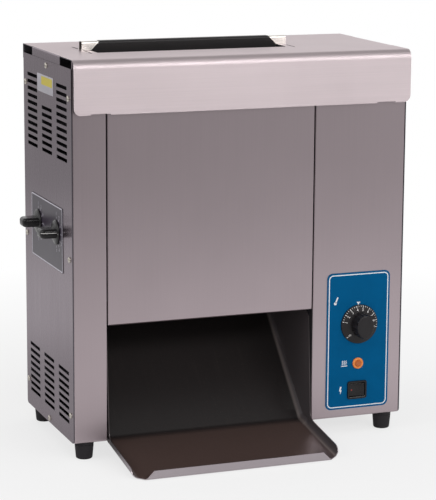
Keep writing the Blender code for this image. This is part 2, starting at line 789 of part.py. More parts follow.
def corner_waste(corner, away, radius):
    """Outline that rounds a corner; away points from the sheet out of the corner."""
    x, z = corner
    dx, dz = away
    centre = (x - dx * radius, z - dz * radius)
    start = math.atan2(0, dx)
    curve = arc(centre, radius, start, start + dx * dz * math.pi / 2, ARC_STEPS)
    level = (centre[0], z + dz * OVERRUN)
    outside = (x + dx * OVERRUN, z + dz * OVERRUN)
    upright = (x + dx * OVERRUN, centre[1])
    return curve + [level, outside, upright]


def build_hood():
    """One folded hood with the bun slot, the slits and two end tabs."""
    low = BODY_HEIGHT - SKIRT_HEIGHT
    back = BODY_DEPTH + LAYER
    path = [
        (-SKIRT_REACH, low),
        (-SKIRT_REACH, BODY_HEIGHT),
        (back, BODY_HEIGHT),
        (back, BODY_HEIGHT - HOOD_REAR_DROP),
    ]
    outline = sheet_outline(path, [0.0, HOOD_BEND, LAYER, 0.0], -1)
    hood = extruded("hood", [outline], "YZ", 0.0, BODY_WIDTH, STAINLESS)
    for name, left in (("hood_left_tab", 0.0), ("hood_right_tab", BODY_WIDTH - SHEET)):
        start = (left, HOOD_TAB_START, COVER_HEIGHT + GAP)
        end = (left + SHEET, HOOD_TAB_END, BODY_HEIGHT - SHEET / 2)
        join(hood, block(name, start, end, STAINLESS))
    near = PLATEN_Y - SLOT_WIDTH / 2
    far = PLATEN_Y + SLOT_WIDTH / 2
    loops = [rounded(rectangle((SLOT_LEFT, near), (SLOT_RIGHT, far)), SLOT_CORNER)]
    for centre in (SLOT_LEFT - SLIT_OFFSET, SLOT_RIGHT + SLIT_OFFSET):
        for side in (-1, 1):
            depth = PLATEN_Y + side * SLIT_SPREAD
            low_corner = (centre - SLIT_WIDTH / 2, depth - SLIT_LENGTH / 2)
            high_corner = (centre + SLIT_WIDTH / 2, depth + SLIT_LENGTH / 2)
            loops.append(rectangle(low_corner, high_corner))
    cut(hood, "slots", loops, "XY", HOOD_UNDER - OVERRUN, BODY_HEIGHT + OVERRUN)
    edge = [corner_waste((0.0, low), (-1, -1), SKIRT_CORNER)]
    edge.append(corner_waste((BODY_WIDTH, low), (1, -1), SKIRT_CORNER))
    for centre in (SKIRT_NOTCH_INSET, BODY_WIDTH - SKIRT_NOTCH_INSET):
        start = (centre - SKIRT_NOTCH_WIDTH / 2, low - OVERRUN)
        end = (centre + SKIRT_NOTCH_WIDTH / 2, low + SKIRT_NOTCH_HEIGHT)
        edge.append(rectangle(start, end))
    cut(hood, "skirt_edge", edge, "XZ", -SKIRT_REACH - OVERRUN, -SKIRT_REACH + OVERRUN)


def build_divider():
    """Bright cap that bridges the bun slot over the platen."""
    low = BODY_HEIGHT + GAP
    high = low + CAP_HEIGHT
    near = PLATEN_Y - CAP_WIDTH / 2
    far = PLATEN_Y + CAP_WIDTH / 2
    path = [(near, low), (near, high), (far, high), (far, low)]
    outline = sheet_outline(path, [0.0, CAP_BEND, CAP_BEND, 0.0], -1)
    extruded("divider_cap", [outline], "YZ", LEFT_WALL, RIGHT_WALL, STAINLESS)


def build_platen():
    """Cast platen that hangs between the bulkheads."""
    half = PLATEN_THICKNESS / 2
    corners = rectangle((PLATEN_Y - half, PLATEN_BOTTOM), (PLATEN_Y + half, PLATEN_TOP))
    outline = rounded(corners, PLATEN_CHAMFER, steps=2)
    extruded("platen", [outline], "YZ", LEFT_WALL + GAP, RIGHT_WALL - GAP, ALUMINIUM)


def build_release_sheet():
    """Release sheet draped over the divider and down both faces of the platen."""
    top = BODY_HEIGHT + GAP + CAP_HEIGHT + GAP + RELEASE_SHEET
    near = PLATEN_Y - RELEASE_HALF
    far = PLATEN_Y + RELEASE_HALF
    path = [(near, RELEASE_BOTTOM), (near, top), (far, top), (far, RELEASE_BOTTOM)]
    bend = CAP_BEND + GAP + RELEASE_SHEET
    outline = sheet_outline(path, [0.0, bend, bend, 0.0], -1, RELEASE_SHEET)
    left = SLOT_LEFT + RELEASE_INSET
    right = SLOT_RIGHT - RELEASE_INSET
    sheet = extruded("release_sheet", [outline], "YZ", left, right, RELEASE_FILM)
    rise = top - BODY_HEIGHT
    loops = []
    for x, inward in ((left, 1), (right, -1)):
        outer = x - inward * OVERRUN
        loops.append([
            (x, BODY_HEIGHT),
            (x + inward * (rise + OVERRUN), top + OVERRUN),
            (outer, top + OVERRUN),
            (outer, BODY_HEIGHT),
        ])
    cut(sheet, "corners", loops, "XZ", near - OVERRUN, far + OVERRUN)


def chute_floor_path():
    """Upper face of the chute: front lip, tray, bend and steep slide."""
    slope = CHUTE_FALL / (CHUTE_REACH + CHUTE_BEND_Y)
    front = -CHUTE_REACH + SHEET
    foot = -CHUTE_BEND_DROP - slope * (CHUTE_BEND_Y - front)
    return [
        (front, foot + CHUTE_LIP),
        (front, foot),
        (CHUTE_BEND_Y, -CHUTE_BEND_DROP),
        (CHUTE_TOP_Y, CHUTE_TOP_Z),
    ]


def chute_wall_outline(path):
    """Side wall: low beside the tray, tall inside the tunnel."""
    slope = (path[2][1] - path[1][1]) / (path[2][0] - path[1][0])

    def tray_height(depth):
        """Height of the tray's upper face at a depth."""
        return path[1][1] + slope * (depth - path[1][0])

    under = SHEET / 2
    steep = (path[3][1] - path[2][1]) / (path[3][0] - path[2][0])
    wall_back = path[2][0] + (CHUTE_WALL_TOP - path[2][1]) / steep
    lean_foot = CHUTE_WALL_FRONT - CHUTE_WALL_LEAN
    points = [
        (path[0][0] + CHUTE_CORNER, tray_height(path[0][0] + CHUTE_CORNER) - under),
        (path[2][0], path[2][1] - under),
        (path[3][0], path[3][1] - under),
        (wall_back, CHUTE_WALL_TOP),
        (CHUTE_WALL_FRONT, CHUTE_WALL_TOP),
        (lean_foot, tray_height(lean_foot) + CHUTE_LIP),
        (-CHUTE_SIDE_END, tray_height(-CHUTE_SIDE_END) + CHUTE_LIP),
        (-CHUTE_SIDE_END - CHUTE_SIDE_TAPER, tray_height(-CHUTE_SIDE_END - CHUTE_SIDE_TAPER) + SHEET),
    ]
    radii = [0.0, 0.0, 0.0, 0.0, CHUTE_WALL_LEAN, CHUTE_WALL_LEAN, CHUTE_LIP / 2, 0.0]
    return rounded(points, radii)


def build_chute():
    """Discharge chute: steep slide, tray, front lip and side walls in one sheet."""
    path = chute_floor_path()
    left = LEFT_WALL + CHUTE_SIDE_GAP
    right = RIGHT_WALL - CHUTE_SIDE_GAP
    outline = sheet_outline(path, [0.0, SHEET, CHUTE_BEND_RADIUS, 0.0], -1)
    chute = extruded("discharge_chute", [outline], "YZ", left, right, COATED_STEEL)
    wall = chute_wall_outline(path)
    for name, start in (("chute_left_wall", left), ("chute_right_wall", right - SHEET)):
        join(chute, extruded(name, [wall], "YZ", start, start + SHEET, COATED_STEEL))
    front = -CHUTE_REACH
    corners = []
    for x, inward in ((left, 1), (right, -1)):
        outer = x - inward * OVERRUN
        corners.append([
            (x + inward * CHUTE_CORNER, front + SHEET),
            (x + inward * CHUTE_CORNER, front - OVERRUN),
            (outer, front - OVERRUN),
            (outer, front + CHUTE_CORNER),
            (x, front + CHUTE_CORNER),
        ])
    low = path[1][1]
    cut(chute, "corners", corners, "XY", low - OVERRUN, low + CHUTE_LIP)
    slopes = []
    for x, inward in ((left + CHUTE_CORNER, 1), (right - CHUTE_CORNER, -1)):
        outer = x - inward * (CHUTE_CORNER + OVERRUN)
        slopes.append([
            (x, low + SHEET),
            (x + inward * CHUTE_LIP_SLOPE, low + CHUTE_LIP),
            (x + inward * CHUTE_LIP_SLOPE, low + CHUTE_LIP + OVERRUN),
            (outer, low + CHUTE_LIP + OVERRUN),
            (outer, low + SHEET),
        ])
    cut(chute, "lip_ends", slopes, "XZ", front - OVERRUN, front + 2 * SHEET)


def roller_profile(start, end, low, high):
    """Plain shaft with a wider roller between two heights, listed from the top."""
    return [
        (0.0, end),
        (SHAFT_RADIUS, end),
        (SHAFT_RADIUS, high),
        (ROLLER_RADIUS, high),
        (ROLLER_RADIUS, low),
        (SHAFT_RADIUS, low),
        (SHAFT_RADIUS, start),
        (0.0, start),
    ]


def conveyor_frame(side_name, side, pivot):
    """Channel that carries the rollers; its back is away from the platen."""
    left = LEFT_WALL + FRAME_INSET
    right = RIGHT_WALL - FRAME_INSET
    back = side * FRAME_BACK
    front = -side * FRAME_FRONT
    path = [(left, front), (left, back), (right, back), (right, front)]
    outline = sheet_outline(path, [0.0, FRAME_BEND, FRAME_BEND, 0.0], -side)
    frame = extruded(
        side_name + "_conveyor_frame", [outline], "XY", -FRAME_END, ROLLER_SPAN + FRAME_END, STAINLESS, pivot
    )
    holes = [circle((0, 0), SHAFT_RADIUS + GAP), circle((0, ROLLER_SPAN), SHAFT_RADIUS + GAP)]
    cut(frame, "shaft_holes", holes, "YZ", left - OVERRUN, right + OVERRUN)


def build_belt(side_name, pivot):
    """Endless belt round the two rollers."""
    loops = []
    for radius in (BELT_OUTER, ROLLER_RADIUS + GAP):
        upper = arc((0, ROLLER_SPAN), radius, 0, math.pi, BELT_STEPS)
        lower = arc((0, 0), radius, math.pi, 2 * math.pi, BELT_STEPS)
        loops.append(upper + lower)
    start = SLOT_LEFT + BELT_INSET
    extruded(side_name + "_belt", loops, "YZ", start, SLOT_RIGHT - BELT_INSET, SILICONE, pivot)


def build_follower(side_name, side, pivot):
    """Follower pin on the conveyor's left flange, level with its cam."""
    depth = PLATEN_Y + side * ADJUSTER_SPACING / 2 - side * FOLLOWER_OFFSET
    from_pivot = Vector((0, depth - pivot.location.y, ADJUSTER_HEIGHT - DRIVE_HEIGHT))
    local = Matrix.Rotation(side * LEAN_ANGLE, 3, "X") @ from_pivot
    end = LEFT_WALL + FRAME_INSET - GAP
    start = FOLLOWER_LEFT
    profile = [(0.0, end), (FOLLOWER_RADIUS, end), (FOLLOWER_RADIUS, start), (0.0, start)]
    turned(side_name + "_follower", profile, "+X", local, STEEL, pivot, SMALL_STEPS)


def build_conveyor(side_name, side):
    """One conveyor: frame, rollers, belt and follower on its drive axis."""
    axis = (0.0, PLATEN_Y + side * DRIVE_HALF_SPREAD, DRIVE_HEIGHT)
    pivot = empty(side_name + "_conveyor_pivot", axis, (-side * LEAN_ANGLE, 0, 0), ROOT)
    conveyor_frame(side_name, side, pivot)
    build_belt(side_name, pivot)
    build_follower(side_name, side, pivot)
    start = LEFT_WALL + IDLER_SHAFT_REACH
    end = RIGHT_WALL - IDLER_SHAFT_REACH
    idler = roller_profile(start, end, SLOT_LEFT, SLOT_RIGHT)
    turned(side_name + "_idler_roller", idler, "+X", (0, 0, ROLLER_SPAN), TURNED, pivot)
    shaft_end = CHAIN_X + SPROCKET_HUB + SPROCKET_WIDTH / 2 + SHAFT_RIGHT_REACH
    if side > 0:
        shaft_end = CHAIN_X - CHAIN_PLATE_HALF
    drive = roller_profile(LEFT_WALL - SHAFT_LEFT_REACH, shaft_end, SLOT_LEFT, SLOT_RIGHT)
    turned(side_name + "_drive_roller", drive, "+X", axis, TURNED)


def build_bushes(side_name, side):
    """Flanged bushes of one drive shaft in both bulkheads."""
    bore = SHAFT_RADIUS + GAP
    profile = [
        (bore, BUSH_FLANGE),
        (BUSH_FLANGE_RADIUS, BUSH_FLANGE),
        (BUSH_FLANGE_RADIUS, 0.0),
        (BUSH_RADIUS, 0.0),
        (BUSH_RADIUS, -BUSH_SPIGOT),
        (bore, -BUSH_SPIGOT),
    ]
    depth = PLATEN_Y + side * DRIVE_HALF_SPREAD
    left = (LEFT_WALL - LAYER, depth, DRIVE_HEIGHT)
    right = (RIGHT_WALL + LAYER, depth, DRIVE_HEIGHT)
    turned(side_name + "_left_bush", profile, "-X", left, BRONZE, None, BUSH_STEPS, True)
    turned(side_name + "_right_bush", profile, "+X", right, BRONZE, None, BUSH_STEPS, True)


def involute(angle):
    """Involute function of a pressure angle."""
    return math.tan(angle) - angle


def gear_outline(pitch_radius, phase):
    """Outline of a spur gear with involute flanks; phase turns its first tooth."""
    module = 2 * pitch_radius / GEAR_TEETH
    base = pitch_radius * math.cos(PRESSURE_ANGLE)
    tip = pitch_radius + module * ADDENDUM_SHARE
    root = pitch_radius - module * DEDENDUM_SHARE
    arc_half = math.pi * module / 4 - GEAR_BACKLASH / 4
    half_at_base = arc_half / pitch_radius + involute(PRESSURE_ANGLE)
    flank = [(root, half_at_base)]
    for radius in (pitch_radius, tip):
        flank.append((radius, half_at_base - involute(math.acos(base / radius))))
    points = []
    for tooth in range(GEAR_TEETH):
        middle = phase + 2 * math.pi * tooth / GEAR_TEETH
        polar = [(r, middle - a) for r, a in flank] + [(r, middle + a) for r, a in flank[::-1]]
        points += [(r * math.cos(a), r * math.sin(a)) for r, a in polar]
    return points


def build_gears():
    """Gear pair that turns the two drive shafts opposite ways."""
    start = RIGHT_WALL + SHEET + GEAR_OFFSET
    half_tooth = math.pi / GEAR_TEETH
    for side_name, (depth, height), phase in zip(("crown", "heel"), drive_places(), (0.0, half_tooth)):
        outline = gear_outline(DRIVE_HALF_SPREAD, phase)
        loops = [outline, circle((0, 0), SHAFT_RADIUS + GAP)]
        origin = (start, depth, height)
        extruded(side_name + "_gear", loops, "YZ", 0.0, GEAR_WIDTH, STEEL, None, origin)


def sprocket_outline():
    """Outline of a chain sprocket, five points a tooth, its first gullet at +Y."""
    pitch_angle = 2 * math.pi / SPROCKET_TEETH
    gullet_share = 0.27
    tip_share = 0.44
    root = CHAIN_RADIUS - SPROCKET_ROOT
    shoulder = CHAIN_RADIUS - SPROCKET_ROOT / 4
    tip = CHAIN_RADIUS + SPROCKET_TIP
    steps = [
        (-gullet_share, shoulder),
        (0.0, root),
        (gullet_share, shoulder),
        (tip_share, tip),
        (1 - tip_share, tip),
    ]
    points = []
    for tooth in range(SPROCKET_TEETH):
        for share, radius in steps:
            angle = (tooth + share) * pitch_angle
            points.append((radius * math.cos(angle), radius * math.sin(angle)))
    return points


def build_sprockets():
    """Crown sprocket on its shaft and motor sprocket with its own stub shaft."""
    depth, height = drive_places()[0]
    half = SPROCKET_WIDTH / 2
    bore = circle((0, 0), SHAFT_RADIUS + GAP)
    crown = extruded(
        "crown_sprocket", [sprocket_outline(), bore], "YZ", -half, half, STEEL, None, (CHAIN_X, depth, height)
    )
    ring = [circle((0, 0), SPROCKET_HUB_RADIUS), bore]
    hub = extruded(
        "crown_sprocket_hub", ring, "YZ", 0.0, half + SPROCKET_HUB, STEEL, None, (CHAIN_X, depth, height)
    )
    join(crown, hub)
    place_ = (CHAIN_X, depth, MOTOR_Z)
    motor = extruded("motor_sprocket", [sprocket_outline()], "YZ", -half, half, STEEL, None, place_)
    seat = BRACKET_X + LAYER + OUTPUT_SHAFT_SEAT - CHAIN_X
    profile = [
        (0.0, seat),
        (SHAFT_RADIUS, seat),
        (SHAFT_RADIUS, 0.0),
        (SPROCKET_HUB_RADIUS, 0.0),
        (SPROCKET_HUB_RADIUS, -half - SPROCKET_HUB),
        (0.0, -half - SPROCKET_HUB),
    ]
    join(motor, turned("motor_sprocket_stub", profile, "+X", place_, STEEL, None, SMALL_STEPS))


def chain_loop(pin_offset, waist_offset):
    """Closed line beside the chain's pitch line, waisted between the pins."""
    points = []
    wrap_steps = SPROCKET_TEETH
    for run in (1, -1):
        for step in range(2 * CHAIN_LINKS_BETWEEN):
            offset = waist_offset if step % 2 else pin_offset
            along = step * CHAIN_PITCH / 2
            height = along if run > 0 else CHAIN_SPAN - along
            points.append((run * (CHAIN_RADIUS + offset), height))
        for step in range(wrap_steps):
            angle = (0 if run > 0 else math.pi) + math.pi * step / wrap_steps
            centre = CHAIN_SPAN if run > 0 else 0.0
            radius = CHAIN_RADIUS + pin_offset
            points.append((radius * math.cos(angle), centre + radius * math.sin(angle)))
    return points


def build_chain():
    """Roller chain: two rows of link plates and the rollers of the straight runs."""
    depth = drive_places()[0][0]
    origin = (CHAIN_X, depth, MOTOR_Z)
    near = SPROCKET_WIDTH / 2 + SPROCKET_SIDE_GAP
    loops = [
        chain_loop(CHAIN_PLATE_HALF, CHAIN_WAIST_HALF),
        chain_loop(-CHAIN_PLATE_HALF, -CHAIN_WAIST_HALF),
    ]
    chain = extruded("drive_chain", loops, "YZ", near, near + CHAIN_PLATE, STEEL, None, origin)
    join(chain, extruded("chain_inner_plates", loops, "YZ", -near - CHAIN_PLATE, -near, STEEL, None, origin))
    rollers = []
    for run in (1, -1):
        for link in range(2, CHAIN_LINKS_BETWEEN - 1):
            centre = (run * CHAIN_RADIUS, link * CHAIN_PITCH)
            rollers.append(circle(centre, CHAIN_ROLLER_RADIUS, CHAIN_ROLLER_SIDES))
    reach = near + CHAIN_PLATE / 2
    join(chain, extruded("chain_rollers", rollers, "YZ", -reach, reach, STEEL, None, origin))


def build_gearmotor():
    """Gearmotor on its bracket, its output in line with the motor sprocket."""
    depth = drive_places()[0][0]
    foot = 2 * LAYER
    right = BRACKET_X + MOTOR_BRACKET_FOOT
    path = [(BRACKET_X, MOTOR_BRACKET_TOP), (BRACKET_X, foot), (right, foot)]
    outline = sheet_outline(path, [0.0, PANEL_BEND, 0.0], 1)
    start = depth - MOTOR_BRACKET_WIDTH / 2
    bracket = extruded("motor_bracket", [outline], "XZ", start, start + MOTOR_BRACKET_WIDTH, STEEL)
    hole = circle((depth, MOTOR_Z), SHAFT_RADIUS + 2 * GAP)
    cut(bracket, "shaft_hole", [hole], "YZ", BRACKET_X - OVERRUN, BRACKET_X + OVERRUN)
    left = BRACKET_X + LAYER
    half = GEARBOX_SIZE / 2
    corners = rectangle((-half, -half), (half, half))
    motor = extruded(
        "gearmotor", [rounded(corners, GEARBOX_CORNER, steps=2)], "YZ", 0.0, GEARBOX_LENGTH, ENAMEL, None,
        (left, depth, MOTOR_Z),
    )
    end = GEARBOX_LENGTH + MOTOR_LENGTH
    profile = [
        (0.0, end),
        (MOTOR_RADIUS - MOTOR_EDGE, end),
        (MOTOR_RADIUS, end - MOTOR_EDGE),
        (MOTOR_RADIUS, GEARBOX_LENGTH / 2),
        (0.0, GEARBOX_LENGTH / 2),
    ]
    join(motor, turned("motor_can", profile, "+X", (left, depth, MOTOR_Z), ENAMEL))
    bore = circle((0, 0), SHAFT_RADIUS + GAP)
    cut(motor, "bore", [bore], "YZ", -OVERRUN, OUTPUT_SHAFT_SEAT + GAP, (left, depth, MOTOR_Z))


def cam_outline(side):
    """Constant-rise cam: its radius grows evenly with the angle turned."""
    rise = CAM_LIFT / ADJUSTER_TURN
    full = ADJUSTER_TURN + CAM_OVERRISE
    fall = full + CAM_FALL
    points = []
    for index in range(CAM_POINTS):
        angle = 2 * math.pi * index / CAM_POINTS
        if angle <= full:
            radius = CAM_BASE_RADIUS + rise * angle
        elif angle < fall:
            share = (fall - angle) / (fall - full)
            radius = CAM_BASE_RADIUS + rise * full * share
        else:
            radius = CAM_BASE_RADIUS
        turned_angle = angle if side < 0 else math.pi + angle
        points.append((radius * math.cos(turned_angle), radius * math.sin(turned_angle)))
    return points


def skirted_knob(name, origin):
    """Adjuster knob: round skirt and a bar grip with a rounded tip."""
    rim = SKIRTED_KNOB_SKIRT / 4
    profile = [
        (0.0, SKIRTED_KNOB_SKIRT),
        (SKIRTED_KNOB_RADIUS - 2 * rim, SKIRTED_KNOB_SKIRT),
        (SKIRTED_KNOB_RADIUS, rim),
        (SKIRTED_KNOB_RADIUS, 0.0),
        (0.0, 0.0),
    ]
    knob = turned(name, profile, "-X", origin, BLACK_PLASTIC)
    half = KNOB_BAR_LENGTH / 2
    points = [
        (-half, SKIRTED_KNOB_SKIRT / 2),
        (half, SKIRTED_KNOB_SKIRT / 2),
        (half - KNOB_BAR_TIP / 4, KNOB_BAR_REACH),
        (-half + KNOB_BAR_TIP / 4, KNOB_BAR_REACH),
    ]
    outline = [(-height, depth) for depth, height in rounded(points, [0, 0, KNOB_BAR_TIP, KNOB_BAR_TIP])]
    half_width = KNOB_BAR_WIDTH / 2
    bar = extruded(name + "_bar", [outline], "XY", -half_width, half_width, BLACK_PLASTIC, None, origin)
    join(knob, bar)
    bore = circle((0, 0), SHAFT_RADIUS + GAP)
    return cut(knob, "bore", [bore], "YZ", -KNOB_BORE_DEPTH, OVERRUN, origin)


def build_adjusters():
    """Two adjusters: knob outside, shaft and constant-rise cam inside."""
    for side_name, side, (depth, height) in zip(("crown", "heel"), (-1, 1), adjuster_places()):
        origin = (-KNOB_BACK, depth, height)
        skirted_knob(side_name + "_knob", origin)
        end = LEFT_WALL + IDLER_SHAFT_REACH
        start = -KNOB_BACK - ADJUSTER_SHAFT_DEPTH
        profile = [(0.0, end), (SHAFT_RADIUS, end), (SHAFT_RADIUS, start), (0.0, start)]
        shaft_place = (0.0, depth, height)
        half = CAM_WIDTH / 2
        cam = extruded(
            side_name + "_cam", [cam_outline(side)], "YZ", CAM_CENTRE - half, CAM_CENTRE + half, STEEL, None,
            shaft_place,
        )
        shaft = turned(side_name + "_cam_shaft", profile, "+X", shaft_place, STEEL, None, SMALL_STEPS)
        join(cam, shaft)


def build_adjuster_bracket():
    """Hat bracket on the left bulkhead that steadies both adjuster shafts."""
    face = LEFT_WALL - LAYER
    path = [
        (face, BRACKET_LOW - BRACKET_FOOT),
        (face, BRACKET_LOW),
        (BRACKET_WEB, BRACKET_LOW),
        (BRACKET_WEB, BRACKET_HIGH),
        (face, BRACKET_HIGH),
        (face, BRACKET_HIGH + BRACKET_FOOT),
    ]
    radii = [0.0, PANEL_BEND, PANEL_BEND, PANEL_BEND, PANEL_BEND, 0.0]
    outline = sheet_outline(path, radii, 1)
    bracket = extruded("adjuster_bracket", [outline], "XZ", BRACKET_FRONT, BRACKET_BACK, STEEL)
    holes = [circle(place_, SHAFT_RADIUS + GAP) for place_ in adjuster_places()]
    cut(bracket, "holes", holes, "YZ", BRACKET_WEB - OVERRUN, BRACKET_WEB + OVERRUN)


def build_overlays():
    """Printed films on the control front and round the adjusters."""
    corners = rectangle((OVERLAY_LEFT, OVERLAY_LOW), (OVERLAY_RIGHT, OVERLAY_HIGH))
    body = (SWITCH_BODY_WIDTH / 2 + GAP, SWITCH_BODY_HEIGHT / 2 + GAP)
    loops = [
        rounded(corners, OVERLAY_CORNER),
        circle((DIAL_X, DIAL_Z), DIAL_BUSH_RADIUS + GAP),
        circle((LAMP_X, LAMP_Z), LAMP_BODY_RADIUS + GAP),
        rectangle((SWITCH_X - body[0], SWITCH_Z - body[1]), (SWITCH_X + body[0], SWITCH_Z + body[1])),
    ]
    extruded("control_overlay", loops, "XZ", -FACE_FRONT, -GAP, BLUE_FILM)
    corners = rectangle((SIDE_OVERLAY_FRONT, SIDE_OVERLAY_LOW), (SIDE_OVERLAY_BACK, SIDE_OVERLAY_HIGH))
    loops = [rounded(corners, SIDE_OVERLAY_CORNER, steps=2)]
    loops += [circle(place_, SHAFT_RADIUS + GAP) for place_ in adjuster_places()]
    extruded("adjuster_overlay", loops, "YZ", -FACE_FRONT, -GAP, GREY_FILM)


def dial_grip_outline():
    """Oval grip with shallow flutes round its side."""
    points = []
    steps = GRIP_STEPS * DIAL_FLUTES
    for index in range(steps):
        angle = 2 * math.pi * index / steps
        flute = DIAL_FLUTE * abs(math.sin(DIAL_FLUTES * angle / 2))
        points.append((
            (DIAL_GRIP_HALF_WIDTH - flute) * math.cos(angle),
            (DIAL_GRIP_HALF_LENGTH - flute) * math.sin(angle),
        ))
    return points


def build_thermostat():
    """Thermostat behind the front and its dial knob."""
    origin = (DIAL_X, 0.0, DIAL_Z)
    body_face = -LAYER
    profile = [
        (0.0, DIAL_SHAFT_REACH),
        (DIAL_SHAFT_RADIUS, DIAL_SHAFT_REACH),
        (DIAL_SHAFT_RADIUS, FACE_FRONT),
        (DIAL_BUSH_RADIUS, FACE_FRONT),
        (DIAL_BUSH_RADIUS, body_face),
        (THERMOSTAT_RADIUS, body_face),
        (THERMOSTAT_RADIUS, body_face - THERMOSTAT_DEPTH),
        (0.0, body_face - THERMOSTAT_DEPTH),
    ]
    turned("thermostat_body", profile, "-Y", origin, GREY_PLASTIC)
    top = KNOB_BACK + DIAL_SKIRT
    profile = [
        (0.0, top),
        (DIAL_SHOULDER, top),
        (DIAL_RADIUS - DIAL_EDGE / 2, KNOB_BACK + DIAL_EDGE),
        (DIAL_RADIUS, KNOB_BACK + DIAL_EDGE / 2),
        (DIAL_RADIUS, KNOB_BACK),
        (0.0, KNOB_BACK),
    ]
    knob = turned("thermostat_knob", profile, "-Y", origin, BLACK_PLASTIC, None, FINE_STEPS)
    grip = extruded(
        "thermostat_grip", [dial_grip_outline()], "XZ", -KNOB_BACK - DIAL_GRIP_HEIGHT, -KNOB_BACK - DIAL_EDGE,
        BLACK_PLASTIC, None, origin,
    )
    bevel(grip, DIAL_GRIP_BEVEL, 1)
    join(knob, grip)
    bore = circle((0, 0), DIAL_SHAFT_RADIUS + GAP)
    cut(knob, "bore", [bore], "XZ", -DIAL_SHAFT_REACH - GAP, OVERRUN, origin)


def build_lamp():
    """Amber heater lamp with its body through the panel."""
    rim = FACE_FRONT + GAP
    profile = [
        (0.0, rim + LAMP_RIM + LAMP_DOME),
        (LAMP_RADIUS / 2, rim + LAMP_RIM + LAMP_DOME * 3 / 4),
        (LAMP_RADIUS, rim + LAMP_RIM),
        (LAMP_RADIUS, rim),
        (LAMP_BODY_RADIUS, rim),
        (LAMP_BODY_RADIUS, -LAMP_BODY_DEPTH),
        (0.0, -LAMP_BODY_DEPTH),
    ]
    turned("heater_lamp", profile, "-Y", (LAMP_X, 0.0, LAMP_Z), AMBER)


def centred(half_width, half_height):
    """Rectangle centred on the origin."""
    return rectangle((-half_width, -half_height), (half_width, half_height))


def build_switch():
    """Rocker switch: housing with a bezel, and the rocker on its pins."""
    origin = (SWITCH_X, 0.0, SWITCH_Z)
    back = FACE_FRONT + GAP
    body = centred(SWITCH_BODY_WIDTH / 2, SWITCH_BODY_HEIGHT / 2)
    housing = extruded(
        "switch_housing", [body], "XZ", -back - SWITCH_BEZEL / 2, SWITCH_BODY_DEPTH, BLACK_PLASTIC, None, origin
    )
    rim = rounded(centred(SWITCH_WIDTH / 2, SWITCH_HEIGHT / 2), SWITCH_CORNER)
    join(housing, extruded("switch_bezel", [rim], "XZ", -back - SWITCH_BEZEL, -back, BLACK_PLASTIC, None, origin))
    window = centred(SWITCH_WINDOW_WIDTH / 2, SWITCH_WINDOW_HEIGHT / 2)
    cut(housing, "window", [window], "XZ", -back - SWITCH_BEZEL - OVERRUN, SWITCH_CAVITY_DEPTH, origin)
    pivot = (SWITCH_X, ROCKER_PIVOT_DEPTH, SWITCH_Z)
    reach = ROCKER_PIN_REACH + GAP
    cut(housing, "pin_holes", [circle((0, 0), ROCKER_PIN_RADIUS + GAP)], "XY", -reach, reach, pivot)
    carrier = empty("rocker_pivot", pivot, (0, 0, -ROCKER_TILT), ROOT)
    half = ROCKER_HALF_WIDTH
    valley = ROCKER_FACE - half * math.tan(ROCKER_TILT)
    outline = [
        (-half, -ROCKER_FACE),
        (0.0, -valley),
        (half, -ROCKER_FACE),
        (half, 0.0),
        (half / 2, ROCKER_BACK),
        (-half / 2, ROCKER_BACK),
        (-half, 0.0),
    ]
    rocker = extruded(
        "switch_rocker", [outline], "XY", -ROCKER_HALF_HEIGHT, ROCKER_HALF_HEIGHT, BLACK_PLASTIC, carrier
    )
    pin = [circle((0, 0), ROCKER_PIN_RADIUS)]
    join(rocker, extruded("rocker_pin", pin, "XY", -ROCKER_PIN_REACH, ROCKER_PIN_REACH, BLACK_PLASTIC, carrier))


def build_heater_fittings():
    """Heater terminals and the over-temperature limit on the right bulkhead."""
    start = RIGHT_WALL + LAYER
    low = (start, PLATEN_Y - HEATER_BLOCK_WIDTH / 2, HEATER_BLOCK_Z - HEATER_BLOCK_HEIGHT / 2)
    high = (start + HEATER_BLOCK_DEPTH, low[1] + HEATER_BLOCK_WIDTH, low[2] + HEATER_BLOCK_HEIGHT)
    terminals = block("heater_terminals", low, high, CERAMIC)
    ends = [circle((0, side * HEATER_STUD_SPREAD / 2), HEATER_STUD_RADIUS) for side in (-1, 1)]
    origin = (start + HEATER_BLOCK_DEPTH / 2, PLATEN_Y, HEATER_BLOCK_Z)
    join(terminals, extruded("heater_studs", ends, "YZ", 0.0, HEATER_STUD_REACH, STEEL, None, origin))
    profile = [
        (0.0, LIMIT_DEPTH),
        (LIMIT_RADIUS, LIMIT_DEPTH),
        (LIMIT_RADIUS, LIMIT_FLANGE),
        (LIMIT_FLANGE_RADIUS, LIMIT_FLANGE),
        (LIMIT_FLANGE_RADIUS, 0.0),
        (0.0, 0.0),
    ]
    turned("high_limit", profile, "+X", (start, PLATEN_Y, LIMIT_Z), CERAMIC, None, SMALL_STEPS)


def build_terminal_block():
    """Terminal block on the base pan: a comb of fences between its ways."""
    base = 2 * LAYER
    top = base + TERMINAL_HEIGHT
    pitch = (TERMINAL_LENGTH - TERMINAL_FENCE) / TERMINAL_WAYS
    left = TERMINAL_X - TERMINAL_LENGTH / 2
    points = [(left, base), (left + TERMINAL_LENGTH, base)]
    for way in range(TERMINAL_WAYS, -1, -1):
        fence = left + way * pitch
        points += [(fence + TERMINAL_FENCE, top), (fence, top)]
        if way:
            points += [(fence, top - TERMINAL_NOTCH), (fence - pitch + TERMINAL_FENCE, top - TERMINAL_NOTCH)]
    start = TERMINAL_Y - TERMINAL_WIDTH / 2
    extruded("terminal_block", [points], "XZ", start, start + TERMINAL_WIDTH, GREY_PLASTIC)


